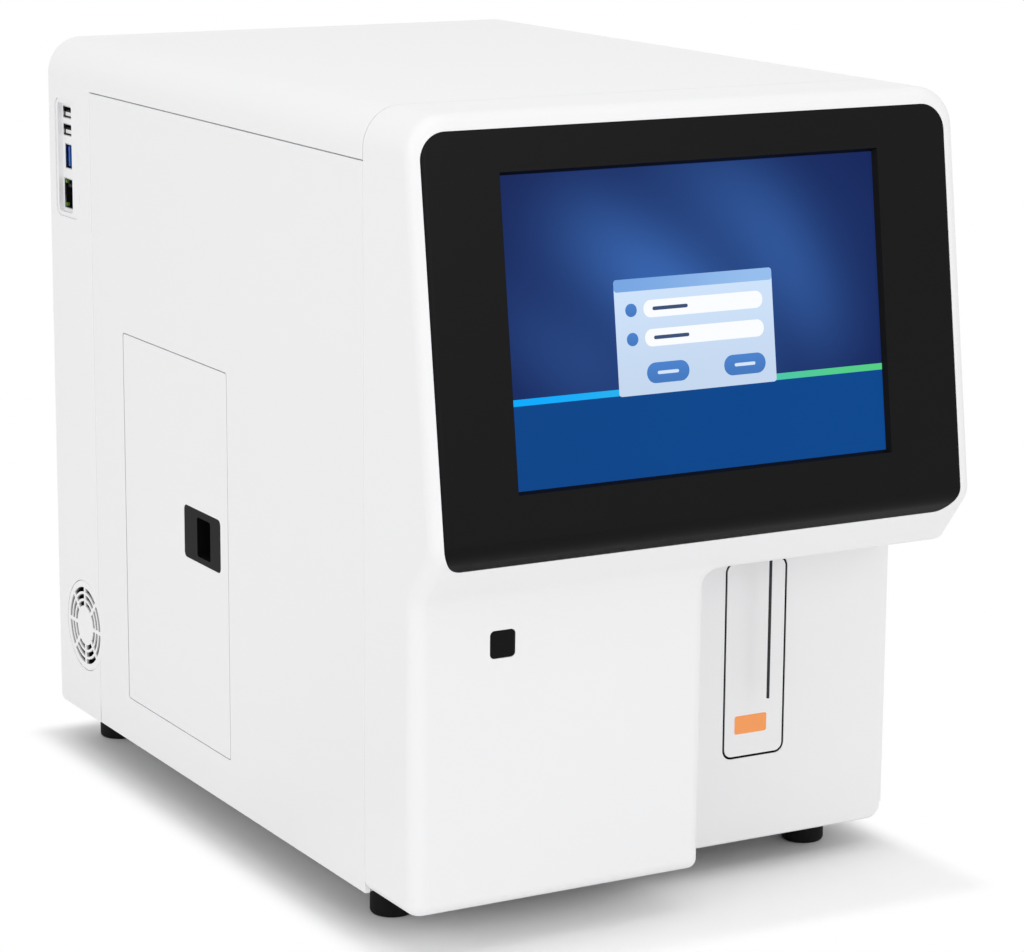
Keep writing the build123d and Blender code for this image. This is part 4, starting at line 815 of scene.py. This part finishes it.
class ANALYZER_OT_housing_finish(bpy.types.Operator):
    """Give the covers, panels and outer fittings their finishes"""

    bl_idname = "analyzer.housing_finish"
    bl_label = "Finish the housing"

    def execute(self, context):
        white = satin_white()
        give(white, "front_cover", "hood", "aspirate_key", "port_bay")
        give(grille_white(), "fan_grille")
        give(panel_white(), "left_side_panel", "right_side_panel", "rear_panel", "side_door")
        give(surround_black(), "screen_bezel", "power_button")
        black = moulded_black("moulded_black")
        give(black, "door_pull", "power_inlet", "rocker_switch", "fan_frame", "fan_rotor")
        give(foot_rubber(), "feet")
        give(polished_steel(), "hinge_pins", "strike_plate", "probe_guide", "idler_pin", "ground_stud")
        give(needle_steel(), "sample_probe")
        give(socket_metal(), "usb_ports", "usb3_port", "ethernet_port")
        give(turned_brass(), "fluid_fittings")
        return {"FINISHED"}


class ANALYZER_OT_works_finish(bpy.types.Operator):
    """Give the inner works their finishes"""

    bl_idname = "analyzer.works_finish"
    bl_label = "Finish the inner works"

    def execute(self, context):
        sheet = brushed_sheet("zinc_sheet")
        give(sheet, "base_plate", "fluidics_plate", "card_plate", "deck", "display_bracket")
        upright = brushed_sheet("bay_sheet", 196, (1.0, 1.0, 40.0))
        give(upright, "reagent_bay", "bath_bracket", "syringe_frame")
        give(brushed_sheet("module_can", 150), "display_module")
        dark = moulded_black("inner_black", 12, (0.6, 0.75))
        give(dark, "key_housing", "button_housing", "key_switch", "catch_magnet", "hinge_brackets")
        give(dark, "wash_block", "valve_bank", "probe_belt")
        give(motor_black(), "probe_motor", "syringe_motors", "vacuum_pump")
        give(machined_aluminium(), "probe_lift", "drive_pulley", "idler_pulley", "optical_unit")
        give(given("probe_guide"), "sample_plunger", "diluent_plunger")
        give(clear_acrylic(), "counting_baths", "syringe_barrels")
        give(bottle_plastic(), "reagent_bottles")
        give(coloured_plastic("cap_blue", srgb(40, 88, 170)), "bottle_caps")
        give(coloured_plastic("tube_milky", srgb(226, 232, 232), (0.25, 0.36)), "pickup_tubes")
        give(board_green(), "main_board")
        return {"FINISHED"}


class ANALYZER_OT_screen_picture(bpy.types.Operator):
    """Make the lit picture on the screen: backdrop, band, line and a plain sign-in window"""

    bl_idname = "analyzer.screen_picture"
    bl_label = "Screen picture"

    def execute(self, context):
        values = screen_values()
        backdrop = backdrop_glow()
        give(backdrop, "touch_glass")
        self.strip("screen_backdrop", SCREEN_HEIGHT, SCREEN_HEIGHT, 0, backdrop)
        band = glow("screen_band", shade(values.band, 0.92), tuple(values.band))
        self.strip("screen_band", SCREEN_HEIGHT, BAND_HEIGHT, 1, band)
        line = glow("screen_line", srgb(0, 170, 255), srgb(84, 206, 132))
        self.strip("screen_line", SCREEN_HEIGHT - BAND_HEIGHT, LINE_HEIGHT, 2, line)
        self.sign_in_window(values)
        return {"FINISHED"}

    def strip(self, name, foot, height, layer, material):
        """Strip across the whole picture, whose foot is so far below its top."""
        screen_plate(name, (0, foot - height / 2), (SCREEN_WIDTH, height), 0, layer, material)

    def sign_in_window(self, values):
        """Plain window: a head strip, two rows of a dot and a field, and two buttons."""
        key = glow("window_button", shade(values.button, 0.85), tuple(values.button), "Y")
        lights = {
            "plate": glow("window_plate", shade(values.window, 0.9), tuple(values.window), "Y"),
            "strip": glow("window_strip", srgb(120, 166, 226), srgb(150, 190, 238)),
            "field": glow("window_field", srgb(250, 252, 255)),
            "dot": key,
            "entry": glow("window_ink", srgb(58, 78, 116)),
            "button": key,
            "button_mark": glow("window_button_mark", srgb(214, 230, 252)),
        }
        for name, across, down, width, height, radius, layer in WINDOW_PARTS:
            centre = (WINDOW_MIDDLE[0] + across * MM, WINDOW_MIDDLE[1] + down * MM)
            size = (width * MM, height * MM)
            light = lights[name.rstrip("_01")]
            screen_plate(f"window_{name}", centre, size, radius * MM, layer, light)


class ANALYZER_OT_key_label(bpy.types.Operator):
    """Put the plain orange label on the aspirate key"""

    bl_idname = "analyzer.key_label"
    bl_label = "Key label"

    def execute(self, context):
        values = small_values()
        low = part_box("aspirate_key")[0]
        centre = Vector((low.x + LABEL_PLACE[0], low.y, low.z + LABEL_PLACE[1]))
        outline = rounded_outline(values.label_width, values.label_height, LABEL_CORNER)

        def build(made):
            places = [centre + Vector((x, -LABEL_FRONT, z)) for x, z in outline]
            thin_plate(made, places, (0, LABEL_THICKNESS, 0))

        paint = grained("label_orange", tuple(values.label), (1200.0, 3.0), (0.35, 0.48), 0.95)
        piece("key_label", mesh_of("key_label", build), paint.material, "key")
        return {"FINISHED"}


class ANALYZER_OT_key_gap_shade(bpy.types.Operator):
    """Black ring of painted shade in the gap round the aspirate key"""

    bl_idname = "analyzer.key_seal"
    bl_label = "Key gap shade"

    def execute(self, context):
        low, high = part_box("aspirate_key")
        middle = Vector(((low.x + high.x) / 2, low.y + GAP_SHADE_SET_BACK, (low.z + high.z) / 2))
        width = high.x - low.x
        height = high.z - low.z
        outer = KEY_GAP - GAP_SHADE_CLEARANCE / 3
        loops = (
            (GAP_SHADE_CLEARANCE, 0.0),
            (outer, 0.0),
            (outer, GAP_SHADE_DEPTH),
            (GAP_SHADE_CLEARANCE, GAP_SHADE_DEPTH),
        )

        def build(made):
            rings = []
            for grow, back in loops:
                outline = rounded_outline(width + 2 * grow, height + 2 * grow, KEY_CORNER + grow)
                rings.append([made.verts.new(middle + Vector((x, back, z))) for x, z in outline])
            join_rings(made, rings)

        # painted shade: a black ring set into the gap stands for the shade in it
        piece("key_seal", mesh_of("key_seal", build), gap_shade_black(), "housing")
        return {"FINISHED"}


class ANALYZER_OT_hood_edges(bpy.types.Operator):
    """Straight lower edges of the hood beside the rear corners"""

    bl_idname = "analyzer.hood_edges"
    bl_label = "Hood's lower edges"

    def execute(self, context):
        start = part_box("left_side_panel")[1].y + SEAM_GAP
        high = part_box("hood")[1]
        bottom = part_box("base_plate")[0].z
        for name, side in (("left", -1), ("right", 1)):
            self.edge(f"hood_edge_{name}", side, start, high, bottom)
        return {"FINISHED"}

    def edge(self, name, side, start, high, bottom):
        """Strip of the side wall, which follows the rounded rear corner and heel."""
        places = [start, high.y - HEEL_RADIUS]
        for step in range(1, CORNER_STEPS + 1):
            turn = math.radians(90 * step / CORNER_STEPS)
            places.append(high.y - HEEL_RADIUS * (1 - math.sin(turn)))
        rows = []
        for y in places:
            heel = max(0.0, y - high.y + HEEL_RADIUS)
            corner = max(0.0, y - high.y + REAR_CORNER)
            x = high.x - REAR_CORNER + math.sqrt(max(0.0, REAR_CORNER**2 - corner**2))
            z = bottom + HEEL_RADIUS - math.sqrt(max(0.0, HEEL_RADIUS**2 - heel**2))
            rows.append((side * x, side * (x - EDGE_THICKNESS), y, z))
        top = bottom + HEEL_RADIUS

        def build(made):
            rings = []
            for outside, inside, y, z in rows:
                corners = ((outside, y, z), (outside, y, top), (inside, y, top), (inside, y, z))
                rings.append([made.verts.new(place) for place in corners])
            join_rings(made, rings, closed=False)
            made.faces.new(rings[0])
            made.faces.new(rings[-1])
            bmesh.ops.remove_doubles(made, verts=made.verts, dist=0.000001)

        piece(name, mesh_of(name, build), given("hood"), "housing")


class ANALYZER_OT_port_details(bpy.types.Operator):
    """Tongues, contacts and lamps of the sockets in the left side"""

    bl_idname = "analyzer.port_details"
    bl_label = "Port details"

    def execute(self, context):
        gold = given("fluid_fittings")
        self.flat_sockets(gold)
        self.upright_socket()
        self.network_socket(gold)
        return {"FINISHED"}

    def flat_sockets(self, gold):
        """White tongues with four contacts each."""
        white = coloured_plastic("tongue_white", srgb(232, 232, 230))
        low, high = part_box("usb_ports")
        across = (low.y + high.y) / 2
        for index, level in enumerate((high.z - USB_LEVEL, low.z + USB_LEVEL)):
            place = (low.x, across, level)
            boxes(f"usb_tongue_{index}", [place], USB_TONGUE, white)
            places = [(low.x, across + (step - 1.5) * USB_PITCH, level) for step in range(4)]
            boxes(f"usb_contacts_{index}", places, USB_CONTACT, gold)

    def upright_socket(self):
        """Blue tongue of the fast socket, which stands on end."""
        low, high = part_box("usb3_port")
        place = (low.x, (low.y + high.y) / 2, (low.z + high.z) / 2)
        blue = coloured_plastic("tongue_blue", srgb(2, 88, 190))
        boxes("usb3_tongue", [place], UPRIGHT_TONGUE, blue)

    def network_socket(self, gold):
        """Eight pins, two lamps and the guides of the plug."""
        low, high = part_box("ethernet_port")
        across = (low.y + high.y) / 2
        middle = (low.z + high.z) / 2
        pins = [(low.x, across, middle + (step - 3.5) * PIN_PITCH) for step in range(8)]
        boxes("network_pins", pins, NETWORK_PIN, gold)
        green = Paint("lamp_green", srgb(92, 138, 40))
        green.rough(green.noise(900.0, 2.0), 0.25, 0.4)
        lamps = [(low.x, high.y, middle + side * LAMP_LEVEL) for side in (-1, 1)]
        boxes("network_lamps", lamps, NETWORK_LAMP, green.material)
        pale = coloured_plastic("guide_pale", srgb(214, 214, 210))
        guides = [(low.x, low.y, middle + side * GUIDE_LEVEL) for side in (-1, 1)]
        boxes("network_guides", guides, NETWORK_GUIDE, pale)


class ANALYZER_OT_rear_details(bpy.types.Operator):
    """Screws of the rear panel and the coloured rings of the hose fittings"""

    bl_idname = "analyzer.rear_details"
    bl_label = "Rear details"

    def execute(self, context):
        radius = small_values().screw_radius
        tree = instance_tree("screw_row", "line", screw_head(radius), given("probe_guide"))
        low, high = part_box("rear_panel")
        face = high.y + radius * SCREW_THICKNESS / 2
        pitch = (high.z - low.z - 2 * SCREW_MARGIN) / (SCREW_COUNT - 1)
        for side, x in (("left", low.x + SCREW_INSET), ("right", high.x - SCREW_INSET)):
            values = {
                "Count": SCREW_COUNT,
                "Start": (x, face, low.z + SCREW_MARGIN),
                "Step": (0.0, 0.0, pitch),
            }
            grow_tree(f"rear_screws_{side}", tree, values, "housing")
        self.fitting_rings(high.y)
        return {"FINISHED"}

    def fitting_rings(self, face):
        """A ring on the panel round each hose fitting, each in its own colour."""
        low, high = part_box("fluid_fittings")
        level = (low.z + high.z) / 2
        colours = (srgb(38, 92, 178), srgb(44, 148, 84), srgb(236, 190, 52), srgb(196, 52, 46))
        pitch = (high.x - low.x - 2 * FITTING_REACH) / (len(colours) - 1)
        for index, colour in enumerate(colours):
            name = f"fitting_ring_{index}"
            centre = Vector((low.x + FITTING_REACH + index * pitch, face + RING_FRONT, level))

            def build(made):
                ring_mesh(made, centre, *RING_SIZES)

            piece(name, mesh_of(name, build), coloured_plastic(name, colour), "housing")


class ANALYZER_OT_bottle_ribs(bpy.types.Operator):
    """Grip ribs round the two bottle caps behind the side door"""

    bl_idname = "analyzer.bottle_ribs"
    bl_label = "Bottle cap ribs"

    def execute(self, context):
        rib = boxes_mesh("cap_rib", [(0.0, 0.0, 0.0)], CAP_RIB)
        tree = instance_tree("cap_ribs", "circle", rib, given("bottle_caps"))
        low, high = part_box("bottle_caps")
        radius = (high.x - low.x) / 2
        for index, y in enumerate((low.y + radius, high.y - radius)):
            values = {
                "Count": small_values().cap_ribs,
                "Start": ((low.x + high.x) / 2, y, low.z + RIB_LEVEL),
                "Radius": radius,
            }
            grow_tree(f"cap_ribs_{index}", tree, values, "housing")
        return {"FINISHED"}


class ANALYZER_OT_studio(bpy.types.Operator):
    """White floor and surroundings, soft lamps and the camera"""

    bl_idname = "analyzer.studio"
    bl_label = "Studio"

    def execute(self, context):
        self.floor()
        self.surroundings()
        for name, place, size, power in LAMPS:
            self.lamp(name, place, size, power)
        self.camera()
        return {"FINISHED"}

    def floor(self):
        """White floor that keeps the shade close to the housing and glows white beyond it."""

        def build(made):
            bmesh.ops.create_grid(made, x_segments=2, y_segments=2, size=FLOOR_REACH)

        mesh = mesh_of("studio_floor", build)
        floor = bpy.data.objects.new("studio_floor", mesh)
        bpy.context.scene.collection.objects.link(floor)
        paint = Paint("studio_floor", (0.98, 0.98, 0.98, 1.0), specular=0.0)
        paint.set("Roughness", 0.9)
        distance = self.distance_from_base(paint)
        fade = paint.spread(distance, 0.0, 1.0, 0.0, FADE_REACH, "SMOOTHSTEP")
        path = paint.node("ShaderNodeLightPath").outputs
        seen = combine(paint.tree, "MAXIMUM", path["Is Camera Ray"], path["Is Glossy Ray"])
        white = paint.node("ShaderNodeEmission")
        mixed = paint.node("ShaderNodeMixShader")
        output = paint.tree.nodes["Material Output"]
        paint.link(combine(paint.tree, "MULTIPLY", seen, fade), mixed.inputs["Fac"])
        paint.link(paint.shader.outputs["BSDF"], mixed.inputs[1])
        paint.link(white.outputs["Emission"], mixed.inputs[2])
        paint.link(mixed.outputs["Shader"], output.inputs["Surface"])
        mesh.materials.append(paint.material)

    def distance_from_base(self, paint):
        """How far a place on the floor lies outside the outline of the housing."""
        high = CAD_BOX[1]
        vector = paint.coordinates.outputs["Object"]
        limit = (high.x, high.y, 0.0)
        for operation, value in (("ABSOLUTE", None), ("SUBTRACT", limit), ("MAXIMUM", (0.0, 0.0, 0.0))):
            step = paint.node("ShaderNodeVectorMath", operation=operation)
            paint.link(vector, step.inputs[0])
            if value:
                step.inputs[1].default_value = value
            vector = step.outputs["Vector"]
        length = paint.node("ShaderNodeVectorMath", operation="LENGTH")
        paint.link(vector, length.inputs[0])
        return length.outputs["Value"]

    def surroundings(self):
        """White world, weaker as a light than as a background."""
        world = bpy.data.worlds.new("studio_world")
        bpy.context.scene.world = world
        world.use_nodes = True
        tree = world.node_tree
        back = tree.nodes["Background"]
        path = tree.nodes.new("ShaderNodeLightPath").outputs
        seen = combine(tree, "MAXIMUM", path["Is Camera Ray"], path["Is Glossy Ray"])
        seen = combine(tree, "MAXIMUM", seen, path["Is Transmission Ray"])
        level = tree.nodes.new("ShaderNodeMapRange")
        level.inputs["To Min"].default_value = WORLD_FILL
        tree.links.new(seen, level.inputs["Value"])
        tree.links.new(level.outputs["Result"], back.inputs["Strength"])
        back.inputs["Color"].default_value = (1.0, 1.0, 1.0, 1.0)

    def lamp(self, name, place, size, power):
        data = bpy.data.lights.new(name, "AREA")
        data.shape = "DISK"
        data.size = size
        data.energy = power
        lamp = bpy.data.objects.new(name, data)
        bpy.context.scene.collection.objects.link(lamp)
        centre = (CAD_BOX[0] + CAD_BOX[1]) / 2
        lamp.location = place
        lamp.rotation_euler = (centre - Vector(place)).to_track_quat("-Z", "Y").to_euler()

    def camera(self):
        values = bpy.context.scene.analyzer_studio
        data = bpy.data.cameras.new("studio_camera")
        data.sensor_width = SENSOR_WIDTH
        data.lens = values.lens
        data.clip_start, data.clip_end = CLIP_RANGE
        camera = bpy.data.objects.new("studio_camera", data)
        bpy.context.scene.collection.objects.link(camera)
        pan = Matrix.Rotation(-values.camera_pan, 4, "Z")
        tilt = Matrix.Rotation(math.radians(90) - values.camera_tilt, 4, "X")
        roll = Matrix.Rotation(values.camera_roll, 4, "Z")
        camera.matrix_world = Matrix.Translation(Vector(values.camera_place)) @ pan @ tilt @ roll
        bpy.context.scene.camera = camera


class ANALYZER_PT_panel(bpy.types.Panel):
    """Buttons for each group of pieces"""

    bl_label = "Hematology analyzer"
    bl_idname = "ANALYZER_PT_panel"
    bl_space_type = "VIEW_3D"
    bl_region_type = "UI"
    bl_category = "Analyzer"

    def draw(self, context):
        for step in STEPS:
            self.layout.operator(step.bl_idname)
        for group in GROUPS:
            values = getattr(context.scene, group)
            box = self.layout.box()
            for name in values.bl_rna.properties.keys():
                if name not in {"rna_type", "name"}:
                    box.prop(values, name)


GROUPS = {
    "analyzer_finish": AnalyzerFinish,
    "analyzer_screen": AnalyzerScreen,
    "analyzer_small_parts": AnalyzerSmallParts,
    "analyzer_studio": AnalyzerStudio,
}
STEPS = (
    ANALYZER_OT_studio,
    ANALYZER_OT_housing_finish,
    ANALYZER_OT_works_finish,
    ANALYZER_OT_screen_picture,
    ANALYZER_OT_key_label,
    ANALYZER_OT_key_gap_shade,
    ANALYZER_OT_hood_edges,
    ANALYZER_OT_port_details,
    ANALYZER_OT_rear_details,
    ANALYZER_OT_bottle_ribs,
)


def register():
    for name, group in GROUPS.items():
        bpy.utils.register_class(group)
        setattr(bpy.types.Scene, name, bpy.props.PointerProperty(type=group))
    for kind in (*STEPS, ANALYZER_PT_panel):
        bpy.utils.register_class(kind)


def unregister():
    for kind in reversed((*STEPS, ANALYZER_PT_panel)):
        bpy.utils.unregister_class(kind)
    for name, group in GROUPS.items():
        delattr(bpy.types.Scene, name)
        bpy.utils.unregister_class(group)


def main():
    register()
    bpy.context.scene.view_settings.view_transform = "Standard"
    for step in STEPS:
        area, name = step.bl_idname.split(".")
        getattr(getattr(bpy.ops, area), name)()


if __name__ == "__main__":
    main()
